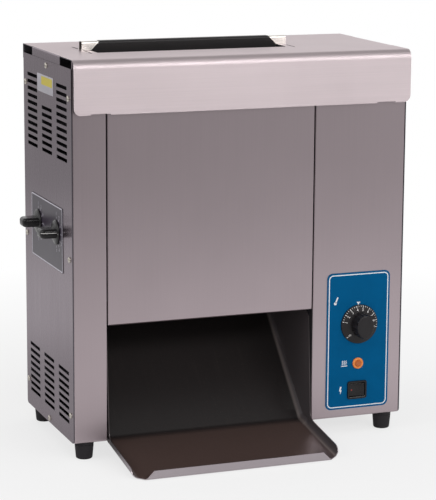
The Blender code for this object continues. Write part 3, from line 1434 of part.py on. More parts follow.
def build_fan():
    """Cooling fan behind the grille: frame with struts, and a bladed rotor."""
    back = BODY_DEPTH - LAYER
    front = back - FAN_DEPTH
    origin = (FAN_X, 0.0, FAN_Z)
    half = FAN_SIZE / 2
    square = rounded(centred(half, half), FAN_CORNER, steps=2)
    frame = extruded(
        "fan_frame", [square, circle((0, 0), FAN_BORE_RADIUS, ROUND_STEPS)], "XZ", front, back, BLACK_PLASTIC,
        None, origin,
    )
    plate_front = back - FAN_PLATE
    hub = [circle((0, 0), FAN_HUB_RADIUS, ROUND_STEPS), circle((0, 0), FAN_PIN_RADIUS + GAP)]
    struts = extruded("fan_hub_plate", hub, "XZ", plate_front, back - GAP, BLACK_PLASTIC, None, origin)
    inner = FAN_HUB_RADIUS - FAN_STRUT_WIDTH / 2
    outer = FAN_BORE_RADIUS + FAN_STRUT_WIDTH / 2
    loops = []
    for index in range(FAN_STRUTS):
        angle = math.pi / FAN_STRUTS + 2 * math.pi * index / FAN_STRUTS
        turn = Matrix.Rotation(angle, 2)
        box = rectangle((inner, -FAN_STRUT_WIDTH / 2), (outer, FAN_STRUT_WIDTH / 2))
        loops.append([tuple(turn @ Vector(point)) for point in box])
    bars = extruded("fan_struts", loops, "XZ", plate_front + GAP, back - 2 * GAP, BLACK_PLASTIC, None, origin)
    join(frame, bars)
    join(frame, struts)
    build_fan_rotor(plate_front)


def build_fan_rotor(plate_front):
    """Rotor with seven pitched blades, carried by its pin in the hub plate."""
    hub_back = plate_front - GAP
    axis = (FAN_X, hub_back, FAN_Z)
    profile = [
        (0.0, FAN_HUB_LENGTH),
        (FAN_HUB_RADIUS - FAN_PLATE / 2, FAN_HUB_LENGTH),
        (FAN_HUB_RADIUS, FAN_HUB_LENGTH - FAN_PLATE / 2),
        (FAN_HUB_RADIUS, 0.0),
        (FAN_PIN_RADIUS, 0.0),
        (FAN_PIN_RADIUS, -FAN_PLATE),
        (0.0, -FAN_PLATE),
    ]
    rotor = turned("fan_rotor", profile, "-Y", axis, BLACK_PLASTIC)
    blades = bmesh.new()
    tip = FAN_BORE_RADIUS - FAN_TIP_GAP
    root = FAN_HUB_RADIUS - 2 * FAN_BLADE_THICKNESS
    for index in range(FAN_BLADES):
        made = bmesh.ops.create_cube(blades, size=1.0)
        stretch = Matrix.Diagonal((tip - root, FAN_BLADE_CHORD, FAN_BLADE_THICKNESS, 1.0))
        pitch = Matrix.Rotation(FAN_BLADE_PITCH, 4, "X")
        out = Matrix.Translation(((tip + root) / 2, 0, FAN_HUB_LENGTH / 2))
        spin = Matrix.Rotation(2 * math.pi * index / FAN_BLADES, 4, "Z")
        bmesh.ops.transform(blades, matrix=spin @ out @ pitch @ stretch, verts=made["verts"])
    mesh = bpy.data.meshes.new("fan_blades")
    blades.to_mesh(mesh)
    blades.free()
    tool = place(bpy.data.objects.new("fan_blades", mesh), ROOT, axis, TURNS["-Y"], BLACK_PLASTIC)
    join(rotor, tool)


def build_inlet():
    """Open gland in the rear cover where the supply cord enters."""
    profile = [
        (INLET_BORE_RADIUS, INLET_REACH),
        (INLET_RADIUS - INLET_BORE_RADIUS / 4, INLET_REACH),
        (INLET_RADIUS, INLET_FLANGE + GAP),
        (INLET_FLANGE_RADIUS, INLET_FLANGE),
        (INLET_FLANGE_RADIUS, GAP),
        (INLET_RADIUS, GAP),
        (INLET_RADIUS, -INLET_DEPTH),
        (INLET_BORE_RADIUS, -INLET_DEPTH),
    ]
    place_ = (INLET_X, BODY_DEPTH, INLET_Z)
    turned("cord_inlet", profile, "+Y", place_, BLACK_PLASTIC, None, ROUND_STEPS, True)


def build_feet():
    """Four tapered feet with a rounded lower edge."""
    height = FOOT_HEIGHT - GAP
    edge = arc((FOOT_BOTTOM_RADIUS - FOOT_EDGE, FOOT_EDGE), FOOT_EDGE, 0.0, -math.pi / 2, 2)
    profile = [(0.0, height), (FOOT_TOP_RADIUS, height)] + edge + [(0.0, 0.0)]
    for row, depth in (("front", FOOT_FRONT), ("rear", BODY_DEPTH - FOOT_FRONT)):
        for column, x in (("left", FOOT_INSET), ("right", BODY_WIDTH - FOOT_INSET)):
            turned("foot_" + row + "_" + column, profile, "+Z", (x, depth, -FOOT_HEIGHT), RUBBER)


def smooth_round_pieces():
    """Shade every piece smooth, with its true edges kept sharp."""
    for item in PARTS.objects:
        if item.type == "MESH":
            item.data.shade_smooth()
            item.data.set_sharp_from_angle(angle=math.radians(30))


def main():
    """Build the machine from its covers inwards."""
    build_side_covers()
    build_front()
    build_rear_cover()
    build_base_pan()
    build_bulkheads()
    build_hood()
    build_divider()
    build_platen()
    build_release_sheet()
    build_chute()
    for side_name, side in (("crown", -1), ("heel", 1)):
        build_conveyor(side_name, side)
        build_bushes(side_name, side)
    build_gears()
    build_sprockets()
    build_chain()
    build_gearmotor()
    build_adjusters()
    build_adjuster_bracket()
    build_overlays()
    build_thermostat()
    build_lamp()
    build_switch()
    build_heater_fittings()
    build_terminal_block()
    build_fan()
    build_inlet()
    build_feet()
    smooth_round_pieces()


main()
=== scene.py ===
"""Dressed model of the vertical contact bun toaster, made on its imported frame.

The covers, chute, belts, controls, prints, screws and feet are made anew as finer surfaces.
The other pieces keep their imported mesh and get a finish.

Lengths are in millimetres in the body's frame: X to the right, Y to the back and Z up, from the
left end of the front face, level with the underside of the body. Piece.build turns them into
metres in the row's frame.
"""

import logging
import math
from dataclasses import dataclass
from enum import Enum
from typing import Any, Callable, Sequence

import bmesh
import bpy
import numpy as np
from mathutils import Matrix, Vector


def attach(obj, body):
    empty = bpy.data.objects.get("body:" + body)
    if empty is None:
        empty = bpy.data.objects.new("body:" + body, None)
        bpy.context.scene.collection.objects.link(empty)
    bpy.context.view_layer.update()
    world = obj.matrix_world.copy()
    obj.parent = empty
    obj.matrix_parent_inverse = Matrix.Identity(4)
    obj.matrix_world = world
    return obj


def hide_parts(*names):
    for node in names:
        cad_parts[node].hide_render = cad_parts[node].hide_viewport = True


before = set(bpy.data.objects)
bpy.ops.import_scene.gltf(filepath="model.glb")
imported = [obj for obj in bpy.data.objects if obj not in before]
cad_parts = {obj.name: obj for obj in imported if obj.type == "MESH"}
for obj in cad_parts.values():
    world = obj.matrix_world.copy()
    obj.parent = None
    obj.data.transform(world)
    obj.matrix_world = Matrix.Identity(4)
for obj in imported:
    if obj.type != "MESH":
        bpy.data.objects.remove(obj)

LOG = logging.getLogger("toaster")
ORIGIN_MM = np.array((-250.85, -70.0, 27.0))
WELD_M = 2e-6

WIDTH = 530.0
DEPTH = 250.0
HEIGHT = 568.0
SHEET = 1.2
LAYER = 1.5
LEFT_WALL = 53.0
RIGHT_WALL = 380.0
PLATEN_Y = 125.0
FILM_FRONT = 0.8
FILM = 0.5
INK = 0.06
KNOB_BACK = 1.3

DIAL = (458.0, 0.0, 147.0)
LAMP = (457.0, 0.0, 85.0)
SWITCH = (456.25, 0.0, 42.75)
CONTROL_HOLES = (
    (DIAL[0], DIAL[2], 4.9, 4.9), (LAMP[0], LAMP[2], 6.9, 6.9), (SWITCH[0], SWITCH[2], 14.8, 12.8),
)
ADJUSTER_DEPTHS = (77.0, 173.0)
ADJUSTER_HEIGHT = 305.0
ADJUSTER_HOLES = tuple((depth, ADJUSTER_HEIGHT, 4.4, 4.4) for depth in ADJUSTER_DEPTHS)

CORNERS = np.array(((1, 1), (-1, 1), (-1, -1), (1, -1)))
WHITE = (1.0, 1.0, 1.0, 1.0)

Array = np.ndarray
Place = Sequence[float]
Pair = tuple[float, float]
Triple = tuple[float, float, float]
Four = tuple[float, float, float, float]
Line = Sequence[Pair]
Holes = Sequence[Four]
Surface = Callable[[Array], Array]
Tree = bpy.types.NodeTree
Socket = bpy.types.NodeSocket


# Surfaces

@dataclass(frozen=True)
class Patch:
    """Faces over points in the body's frame, in millimetres."""

    points: Array
    faces: list[Any]

    def flipped(self) -> "Patch":
        """The patch with its faces turned over."""
        return Patch(self.points, [face[::-1] for face in self.faces])


def unit(vectors: Array) -> Array:
    """Vectors of the same direction and length 1."""
    return vectors / np.linalg.norm(vectors, axis=-1, keepdims=True)


def around(steps: int, shift: float = 0.0, turn: float = 0.0) -> Array:
    """Directions (cos a, sin a) at even angles once round, moved on by steps and by an angle."""
    angle = (np.arange(steps) + shift) * 2 * np.pi / steps + turn
    return np.stack((np.cos(angle), np.sin(angle)), axis=-1)


def corner_arcs(steps: int) -> Array:
    """Directions (4, steps + 1, 2) of four quarter circles, anticlockwise from the upper right."""
    turn = np.arange(4)[:, None] * np.pi / 2 + np.linspace(0, np.pi / 2, steps + 1)
    return np.stack((np.cos(turn), np.sin(turn)), axis=-1)


def grid(points: Array, wrap: bool = False, keep: Array | None = None) -> Patch:
    """Quads over a grid: P(i, j), P(i+1, j), P(i+1, j+1), P(i, j+1).

    Args:
        points: Array of shape (rows, columns, 3).
        wrap: Join the last column to the first.
        keep: Mask of the cells that become faces.

    Returns:
        The patch over the kept cells.
    """
    index = np.arange(points.shape[0] * points.shape[1]).reshape(points.shape[:2])
    if wrap:
        index = np.hstack((index, index[:, :1]))
    quads = np.stack((index[:-1, :-1], index[1:, :-1], index[1:, 1:], index[:-1, 1:]), axis=-1)
    chosen = quads[keep] if keep is not None else quads.reshape(-1, 4)
    return Patch(points.reshape(-1, 3), chosen.tolist())


def merged(patches: Sequence[Patch]) -> Patch:
    """All patches as one, their faces counted on."""
    faces: list[Any] = []
    start = 0
    for patch in patches:
        faces += [[start + index for index in face] for face in patch.faces]
        start += len(patch.points)
    return Patch(np.concatenate([patch.points for patch in patches]), faces)


class Facing(Enum):
    """Sides of the body: what is right, up and outward for somebody who looks at that side."""

    FRONT = ((1, 0, 0), (0, 0, 1), (0, -1, 0))
    REAR = ((-1, 0, 0), (0, 0, 1), (0, 1, 0))
    LEFT = ((0, -1, 0), (0, 0, 1), (-1, 0, 0))
    RIGHT = ((0, 1, 0), (0, 0, 1), (1, 0, 0))
    TOP = ((1, 0, 0), (0, 1, 0), (0, 0, 1))
    UNDER = ((1, 0, 0), (0, -1, 0), (0, 0, -1))

    def place(self, flat: Array, height: Array | float, centre: Place) -> Array:
        """Points of a drawing on this side: centre + right * u + up * v + outward * height.

        Args:
            flat: Drawing points (..., 2).
            height: Height over the side, one number or an array.
            centre: Place of the drawing's origin in the body's frame.

        Returns:
            Points (..., 3) in the body's frame.
        """
        right, up, out = (np.array(axis, float) for axis in self.value)
        level = np.broadcast_to(np.asarray(height, float), flat.shape[:-1])[..., None]
        return np.array(centre, float) + flat[..., :1] * right + flat[..., 1:] * up + level * out


def lofted(rings: Array, high_cap: bool = True) -> Patch:
    """Skin over closed rings, each joined to the next, with a flat end on the first ring.

    Args:
        rings: Array (levels, points, 3).
        high_cap: Close the last ring too.

    Returns:
        The closed skin.
    """
    skin = grid(rings, wrap=True)
    count, total = rings.shape[1], len(skin.points)
    faces = skin.faces + [list(range(count))[::-1]]
    if high_cap:
        faces.append(list(range(total - count, total)))
    return Patch(skin.points, faces)


def turned(profile: Line, facing: Facing, centre: Place, steps: int = 48) -> Patch:
    """Turned surface: the point (r, h) of the profile goes round the axis as (r cos a, r sin a, h).

    Args:
        profile: Radii and heights along the section.
        facing: Side that the axis points out of.
        centre: Place of the axis where the height is 0.
        steps: Points round the axis.

    Returns:
        The surface, closed where the profile starts and ends on the axis.
    """
    section = np.array(profile, float)
    height = np.repeat(section[:, 1:], steps, axis=1)
    return grid(facing.place(section[:, None, :1] * around(steps), height, centre), wrap=True)


def rounded_rectangle(width: float, height: float, radius: float, steps: int = 6) -> Array:
    """Outline of quarter circles about the four corner centres, anticlockwise.

    Args:
        width: Size along u.
        height: Size along v.
        radius: Corner radius.
        steps: Steps in each corner.

    Returns:
        Points (4 * (steps + 1), 2).
    """
    centre = CORNERS * (width / 2 - radius, height / 2 - radius)
    return (centre[:, None] + radius * corner_arcs(steps)).reshape(-1, 2)


def mitre(before: Array, after: Array) -> Array:
    """Offset to the left at points between two edges that moves both edges by 1."""
    left = [np.stack((-edge[:, 1], edge[:, 0]), axis=-1) for edge in (unit(before), unit(after))]
    return (left[0] + left[1]) / (1 + (left[0] * left[1]).sum(axis=1, keepdims=True))


def inset(outline: Array, amount: float) -> Array:
    """Closed anticlockwise outline moved inwards."""
    before = outline - np.roll(outline, 1, axis=0)
    return outline + amount * mitre(before, np.roll(outline, -1, axis=0) - outline)


def prism(outline: Array, levels: Line, facing: Facing, centre: Place) -> Patch:
    """Solid over a flat outline: each level is the outline drawn in by its inset at its height.

    Args:
        outline: Closed anticlockwise outline (n, 2).
        levels: Heights and insets.
        facing: Side that the outline is drawn on.
        centre: Place of the drawing's origin.

    Returns:
        The closed solid.
    """
    rings = [facing.place(inset(outline, amount), height, centre) for height, amount in levels]
    return lofted(np.stack(rings))


def soft_levels(low: float, high: float, radius: float, steps: int = 4) -> list[Pair]:
    """Levels of a prism whose far edge is a quarter circle: in by r - r cos a, up by r sin a."""
    turn = np.linspace(0, np.pi / 2, steps + 1)
    edge = [(high - radius + radius * math.sin(a), radius - radius * math.cos(a)) for a in turn]
    return [(low, 0.0)] + edge


def both_soft(half: float, radius: float, steps: int) -> list[Pair]:
    """Levels of a prism from -half to half with both its edges rounded by a quarter circle."""
    upper = soft_levels(-half, half, radius, steps)[1:]
    return [(-height, amount) for height, amount in upper[::-1]] + upper


def stroke(line: Array, width: float, closed: bool = False) -> Patch:
    """Flat ribbon along a line: each point goes half the width to both sides along its mitre.

    Args:
        line: Points (n, 2).
        width: Width of the ribbon.
        closed: Join the end to the start.

    Returns:
        A patch whose points are (u, v, 0).
    """
    ahead = np.diff(line, axis=0, append=line[:1] if closed else 2 * line[-1:] - line[-2:-1])
    behind = np.roll(ahead, 1, axis=0)
    if not closed:
        behind[0] = ahead[0]
    side = mitre(behind, ahead) * width / 2
    edges = np.stack((line - side, line + side))
    if closed:
        edges = np.concatenate((edges, edges[:, :1]), axis=1)
    return grid(np.pad(edges, ((0, 0), (0, 0), (0, 1))).transpose(1, 0, 2))


def filled(outline: Array) -> Patch:
    """Flat face inside an anticlockwise outline (n, 2)."""
    return Patch(np.pad(outline, ((0, 0), (0, 1))), [list(range(len(outline)))])


def circle(centre: Place, radius: float, steps: int = 24) -> Array:
    """Points of a circle, anticlockwise."""
    return np.array(centre) + radius * around(steps)


def radial(way: Array, span: Pair, width: float, spot: Array | float = 0.0) -> Patch:
    """Short flat line from one distance to another off a spot."""
    return stroke(np.stack([spot + way * reach for reach in span]), width)


def numeral(text: str, height: float, centre: Place, turn: float = 0.0) -> Patch:
    """Plain figures, turned about their own middle.

    Args:
        text: The figures.
        height: Their height.
        centre: Place of their middle in the drawing.
        turn: Angle, anticlockwise.

    Returns:
        A patch whose points are (u, v, 0).
    """
    curve = bpy.data.curves.new("numeral", "FONT")
    curve.body = text
    curve.size = height * 1.4
    curve.resolution_u = 3
    item = bpy.data.objects.new("numeral", curve)
    mesh = bpy.data.meshes.new_from_object(item)
    points = np.empty(len(mesh.vertices) * 3)
    mesh.vertices.foreach_get("co", points)
    flat = points.reshape(-1, 3)[:, :2]
    flat = flat - (flat.min(axis=0) + flat.max(axis=0)) / 2
    cosine, sine = math.cos(turn), math.sin(turn)
    flat = flat @ np.array(((cosine, sine), (-sine, cosine))) + np.array(centre)
    faces = [list(face.vertices) for face in mesh.polygons]
    bpy.data.objects.remove(item, do_unlink=True)
    bpy.data.curves.remove(curve)
    bpy.data.meshes.remove(mesh)
    return Patch(np.pad(flat, ((0, 0), (0, 1))), faces)


def drawn(flat: Sequence[Patch], facing: Facing, centre: Place, height: Surface | float) -> Patch:
    """Flat patches laid on a side.

    Args:
        flat: Patches whose points are (u, v, 0).
        facing: Side that they are laid on.
        centre: Place of the drawing's origin.
        height: Height over the side, or a function that gives it at points (n, 2).

    Returns:
        The patches as one, in the body's frame.
    """
    patch = merged(flat)
    plane = patch.points[:, :2]
    level = height(plane) if callable(height) else height
    return Patch(facing.place(plane, level, centre), patch.faces)


# Bent sheet

@dataclass(frozen=True)
class Fold:
    """Side view of a bent sheet: a line through corners that are rounded by bend radii."""

    corners: tuple[Pair, ...]
    radii: tuple[float, ...]
    steps: int = 8
    guard: float = 0.3

    def line(self) -> Array:
        """Points of the rounded line, one flat after another.

        Each bend is an arc about the point that lies the bend radius from both flats.
        """
        corners = np.array(self.corners, float)
        points = [corners[:1]]
        for index, radius in enumerate(self.radii[1:-1], start=1):
            before = unit(corners[index - 1] - corners[index])
            after = unit(corners[index + 1] - corners[index])
            half = math.acos(float(np.clip(before @ after, -1, 1))) / 2
            centre = corners[index] + unit(before + after) * radius / math.sin(half)
            first = corners[index] + before * radius / math.tan(half) - centre
            last = corners[index] + after * radius / math.tan(half) - centre
            share = np.linspace(0, 1, self.steps + 1)[:, None]
            sweep = math.acos(float(np.clip(unit(first) @ unit(last), -1, 1)))
            arc = np.sin((1 - share) * sweep) * first + np.sin(share * sweep) * last
            points.append(centre + arc / math.sin(sweep))
        points.append(corners[-1:])
        return np.concatenate(points)

    def lengths(self) -> Array:
        """Arc length at each point of the line."""
        steps = np.linalg.norm(np.diff(self.line(), axis=0), axis=1)
        return np.concatenate(((0.0,), np.cumsum(steps)))

    def stations(self) -> tuple[float, ...]:
        """Arc lengths of the points and of a guard off each bend, so that flats look flat."""
        lengths = self.lengths()
        bends = lengths[1:-1].reshape(-1, self.steps + 1)
        guards = (bends[:, 0] - self.guard, bends[:, -1] + self.guard)
        return tuple(np.sort(np.concatenate((lengths, *guards))))

    def at(self, along: Array) -> Array:
        """Points of the line at arc lengths."""
        line, lengths = self.line(), self.lengths()
        return np.stack([np.interp(along, lengths, line[:, axis]) for axis in (0, 1)], axis=-1)

    def reach(self, flat: int, distance: float) -> float:
        """Arc length of the point a distance from the sharp corner that starts a flat."""
        corners = np.array(self.corners, float)
        point = corners[flat] + unit(corners[flat + 1] - corners[flat]) * distance
        line, lengths = self.line(), self.lengths()
        start = 1 + (flat - 1) * (self.steps + 1) + self.steps if flat else 0
        return float(lengths[start] + np.linalg.norm(point - line[start]))

    def surface(self, flat: Array) -> Array:
        """Points of the sheet bent along X: (u, s) goes to (u, y(s), z(s))."""
        return np.concatenate((flat[..., :1], self.at(flat[..., 1])), axis=-1)


def upright(fixed: int, level: float) -> Surface:
    """Surface of an upright flat sheet: (u, s) goes to (level, u, s), or (u, level, s) at 1."""
    return lambda flat: np.insert(flat, fixed, level, axis=-1)


@dataclass(frozen=True)
class Opening:
    """Rectangular opening of a blank, with corners rounded by a radius."""

    left: float
    right: float
    low: float
    high: float
    radius: float = 0.0

    def lines(self) -> tuple[list[float], list[float]]:
        """Lines across and along that its edges and corners need."""
        r = self.radius
        return (
            [self.left, self.left + r, self.right - r, self.right],
            [self.low, self.low + r, self.high - r, self.high],
        )


def openings_at(holes: Holes, radius: float = 0.0) -> tuple[Opening, ...]:
    """Openings about places (u, s), as far as a half width and a half height."""
    return tuple(Opening(u - w, u + w, s - h, s + h, radius) for u, s, w, h in holes)


def all_corners(span: Place, rise: Place, radius: float) -> tuple[Triple, ...]:
    """The four corners of a rectangular blank, with their radius."""
    return tuple((u, s, radius) for u in span for s in rise)


@dataclass(frozen=True)
class Blank:
    """Flat blank of a sheet piece, cut into cells by lines across (u) and along (s)."""

    across: tuple[float, ...]
    along: tuple[float, ...]
    openings: tuple[Opening, ...] = ()
    rounds: tuple[Triple, ...] = ()
    arc_steps: int = 4

    def middle(self) -> Array:
        """Middle of the blank."""
        return np.array([(min(side) + max(side)) / 2 for side in (self.across, self.along)])

    def lines(self) -> list[Array]:
        """All lines across and along, in order and without doubles."""
        across, along = list(self.across), list(self.along)
        for opening in self.openings:
            more = opening.lines()
            across += more[0]
            along += more[1]
        middle = self.middle()
        for u, s, radius in self.rounds:
            share = np.linspace(0, 1, self.arc_steps + 1) * radius
            across += list(u + share * np.sign(middle[0] - u))
            along += list(s + share * np.sign(middle[1] - s))
        return [np.unique(np.round(side, 4)) for side in (across, along)]

    def rounded(self, flat: Array) -> Array:
        """Bends the cells in a rounded corner so that the square fills a quarter circle.

        With a and b the shares from the corner's centre to its sides, the point goes to
        (a sqrt(1 - b b / 2), b sqrt(1 - a a / 2)), which leaves the two inner sides in place.
        """
        result = flat.copy()
        for u, s, radius in self.rounds:
            way = np.sign(np.array((u, s)) - self.middle())
            centre = np.array((u, s)) - way * radius
            share = (result - centre) * way / radius
            inside = (share > 1e-9).all(axis=-1) & (share < 1 + 1e-6).all(axis=-1)
            a, b = share[inside, 0], share[inside, 1]
            bent = np.stack((a * np.sqrt(1 - b * b / 2), b * np.sqrt(1 - a * a / 2)), axis=-1)
            result[inside] = centre + bent * way * radius
        return result

    def patch(self, surface: Surface) -> Patch:
        """The blank's faces, laid on a surface.

        Plain cells are quads. A corner cell of an opening is a fan from the cell's outer corner to
        the points of its quarter arc. Cells inside an opening are left out.

        Args:
            surface: Turns points (..., 2) of the blank into points (..., 3).

        Returns:
            The patch in the body's frame.
        """
        lines = self.lines()
        flat = np.stack(np.meshgrid(*lines, indexing="ij"), axis=-1)
        keep = np.ones([len(side) - 1 for side in lines], bool)
        u, s = np.meshgrid(*[(side[1:] + side[:-1]) / 2 for side in lines], indexing="ij")
        fans = []
        for item in self.openings:
            keep &= ~((u > item.left) & (u < item.right) & (s > item.low) & (s < item.high))
            if item.radius > 0:
                fans.append(self.corner_fans(item, surface))
        return merged([grid(surface(self.rounded(flat)), keep=keep)] + fans)

    def corner_fans(self, item: Opening, surface: Surface) -> Patch:
        """Fans between the four corners of an opening and the arcs that round them."""
        u = np.array((item.right, item.left, item.left, item.right))
        s = np.array((item.high, item.high, item.low, item.low))
        corner = np.stack((u, s), axis=-1)
        centre = corner - CORNERS * item.radius
        arc = centre[:, None] + item.radius * corner_arcs(self.arc_steps)
        points = surface(np.concatenate((corner[:, None], arc), axis=1))
        start = np.arange(4)[:, None] * (self.arc_steps + 2)
        step = np.arange(1, self.arc_steps + 1)
        faces = np.stack((start + 0 * step, start + step + 1, start + step), axis=-1)
        return Patch(points.reshape(-1, 3), faces.reshape(-1, 3).tolist())


# Finishes

def linear(code: str, share: float = 1.0) -> Four:
    """Linear colour of an sRGB hex code, made lighter or darker by a share."""
    values = [int(code[index:index + 2], 16) / 255 for index in (1, 3, 5)]
    even = [v / 12.92 if v <= 0.04045 else ((v + 0.055) / 1.055) ** 2.4 for v in values]
    return (*[min(value * share, 1.0) for value in even], 1.0)


def fill(tree: Tree, node: bpy.types.Node, values: dict) -> None:
    """Links the sockets among the values to a node's inputs, and sets the others on them.

    Args:
        tree: Node tree of the node.
        node: Node whose inputs are filled.
        values: Sockets and plain values by the inputs' names or numbers.
    """
    for key, value in values.items():
        if isinstance(value, Socket):
            tree.links.new(value, node.inputs[key])
        else:
            node.inputs[key].default_value = value


def add(tree: Tree, kind: str, *values: Any, named: dict | None = None, **settings: Any) -> Socket:
    """Adds a node with its settings and links.

    Args:
        tree: Node tree that gets the node.
        kind: Blender's name of the node type, without its ShaderNode start.
        values: Sockets to link or values to set on its inputs, in their order.
        named: The same for inputs by their name or number.
        settings: Properties of the node.

    Returns:
        The first output of the new node, whose node gives the others.
    """
    node = tree.nodes.new("ShaderNode" + kind)
    for key, value in settings.items():
        setattr(node, key, value)
    fill(tree, node, dict(enumerate(values)) | (named or {}))
    return node.outputs[0]


@dataclass(frozen=True)
class Finish:
    """What a surface is made of. Its material is made once and kept under its name."""

    name: str
    slot: str
    colour: str
    roughness: float

    def material(self) -> bpy.types.Material:
        """The finished material."""
        found = bpy.data.materials.get(self.name)
        if found:
            return found
        material = bpy.data.materials.new(self.name)
        material.use_nodes = True
        self.put(material.node_tree, {"Roughness": self.roughness})
        self.dress(material.node_tree)
        return material

    def dress(self, tree: Tree) -> None:
        """Adds the pattern of the finish."""
        raise NotImplementedError

    def put(self, tree: Tree, values: dict) -> None:
        """Links or sets inputs of the material's shader by their names."""
        fill(tree, tree.nodes["Principled BSDF"], values)

    def pattern(self, tree: Tree, sizes_mm: Place, detail: float = 3.0) -> Socket:
        """Noise on object coordinates whose features have these sizes along X, Y and Z."""
        place = add(tree, "TexCoord").node.outputs["Object"]
        scale = [1000 / size for size in sizes_mm]
        mapped = add(tree, "Mapping", place, named={"Scale": scale})
        return add(tree, "TexNoise", mapped, named={"Scale": 1.0, "Detail": detail})

    def tone(self, tree: Tree, value: Socket, spread: float) -> None:
        """Base colour that goes a share darker and lighter with a pattern."""
        ramp = add(tree, "ValToRGB", value)
        low, high = ramp.node.color_ramp.elements
        low.position, high.position = 0.25, 0.75
        low.color, high.color = linear(self.colour, 1 - spread), linear(self.colour, 1 + spread)
        self.put(tree, {"Base Color": ramp})

    def gloss(self, tree: Tree, value: Socket, spread: float) -> None:
        """Roughness that goes up and down with a pattern."""
        low, high = self.roughness - spread, self.roughness + spread
        self.put(tree, {"Roughness": add(tree, "MapRange", value, 0.3, 0.7, low, high)})

    def relief(self, tree: Tree, value: Socket, depth_mm: float) -> None:
        """Bump as deep as the depth over the whole range of a pattern."""
        bump = {"Height": value, "Strength": 1.0, "Distance": depth_mm / 1000}
        self.put(tree, {"Normal": add(tree, "Bump", named=bump)})

    def over(self, tree: Tree, share: Socket, under: Socket | Place, code: str) -> Socket:
        """Lays a colour over another by a share, as the base colour.

        Args:
            tree: Node tree of the material.
            share: Share of the colour on top.
            under: Colour under it.
            code: The sRGB hex code of the colour on top.

        Returns:
            The two as mixed.
        """
        values = {"Factor": share, 6: under, 7: linear(code)}
        colour = add(tree, "Mix", named=values, data_type="RGBA").node.outputs[2]
        self.put(tree, {"Base Color": colour})
        return colour


class Grain(Enum):
    """Brush marks on a sheet: their long way, and how far a mark runs on X, Y and Z."""

    UPRIGHT = ((0.0, 0.0, 1.0), (0.9, 0.9, 140.0))
    SIDEWAYS = ((1.0, 0.0, 0.0), (140.0, 0.9, 0.9))


@dataclass(frozen=True)
class BrushedStainless(Finish):
    """Stainless sheet, rolled and belt-brushed.

    Fine parallel marks spread what it mirrors across the grain, so that it looks silky along one
    way and keeps soft bands of light and dark. The marks are drawn 0.9 mm apart, coarser than the
    real grit, so that they show.
    """

    grain: Grain = Grain.UPRIGHT
    spread: float = 0.05
    anisotropy: float = 0.75
    depth: float = 0.010

    def dress(self, tree: Tree) -> None:
        """Marks in colour, gloss and relief, and a highlight drawn out across the grain."""
        way, sizes = self.grain.value
        marks = self.pattern(tree, sizes, 5.0)
        both = add(tree, "Math", marks, self.pattern(tree, (120, 120, 120), 2.0), operation="ADD")
        self.tone(tree, add(tree, "Math", both, 0.5, operation="MULTIPLY"), self.spread)
        self.gloss(tree, marks, 0.04)
        self.relief(tree, marks, self.depth)
        normal = add(tree, "NewGeometry").node.outputs["Normal"]
        across = add(tree, "VectorMath", normal, way, operation="CROSS_PRODUCT")
        self.put(tree, {"Metallic": 1.0, "Anisotropic": self.anisotropy, "Tangent": across})


@dataclass(frozen=True)
class Metal(Finish):
    """Bare metal with an even surface: cast, plated, turned or sintered, by its feature sizes."""

    features: Triple = (1.5, 1.5, 1.5)
    depth: float = 0.02
    spread: float = 0.1

    def dress(self, tree: Tree) -> None:
        """Grain in colour, gloss and relief."""
        self.put(tree, {"Metallic": 1.0})
        grain = self.pattern(tree, self.features)
        self.tone(tree, grain, self.spread)
        self.gloss(tree, grain, 0.08)
        self.relief(tree, grain, self.depth)


@dataclass(frozen=True)
class ShadeDarkenedSteel(Metal):
    """Bare steel with painted shade: darker towards the body, where shade falls, and still bright
    in front.
    """

    painted_shade_colour: str = "#3c3634"
    reach: Pair = (-0.186, -0.085)

    def dress(self, tree: Tree) -> None:
        """The steel, mixed with the painted shade's colour by the depth."""
        super().dress(tree)
        steel = tree.nodes["Principled BSDF"].inputs["Base Color"].links[0].from_socket
        place = add(tree, "SeparateXYZ", add(tree, "TexCoord").node.outputs["Object"])
        share = add(tree, "MapRange", place.node.outputs["Y"], *self.reach, 0.0, 0.85)
        self.over(tree, share, steel, self.painted_shade_colour)


@dataclass(frozen=True)
class Moulded(Finish):
    """Moulded plastic, rubber or ceramic: a fine even texture and a broad soft sheen."""

    texture: float = 0.8
    depth: float = 0.02
    coat: float = 0.0
    spread: float = 0.08
    shine: float = 0.5

    def dress(self, tree: Tree) -> None:
        """Texture of the mould in relief, and its mottle in colour and gloss."""
        coat = {"Coat Weight": self.coat, "Coat Roughness": 0.12}
        self.put(tree, {"Specular IOR Level": self.shine} | coat)
        cloud = self.pattern(tree, (14, 14, 14))
        self.tone(tree, cloud, self.spread)
        self.gloss(tree, cloud, 0.05)
        self.relief(tree, self.pattern(tree, (self.texture,) * 3), self.depth)


@dataclass(frozen=True)
class NonStick(Finish):
    """Non-stick coating baked on steel: smooth brown-black, with fine pale flecks and scuffs."""

    fleck: str = "#7a6c64"
    shine: float = 0.3

    def dress(self, tree: Tree) -> None:
        """Flecks and long faint scuffs over the dark coat."""
        self.put(tree, {"Specular IOR Level": self.shine})
        fine = self.pattern(tree, (1.1, 1.1, 1.1), 4.0)
        scuff = self.pattern(tree, (3, 70, 70), 4.0)
        speck = add(tree, "MapRange", fine, 0.66, 0.76, 0.0, 0.55)
        mark = add(tree, "MapRange", scuff, 0.56, 0.72, 0.0, 0.025)
        share = add(tree, "Math", speck, mark, operation="MAXIMUM")
        self.gloss(tree, scuff, 0.02)
        self.relief(tree, fine, 0.01)
        self.add_painted_light(tree, self.over(tree, share, linear(self.colour), self.fleck))

    def add_painted_light(self, tree: Tree, coat: Socket) -> None:
        """Adds painted light to the coat; by itself it adds none."""


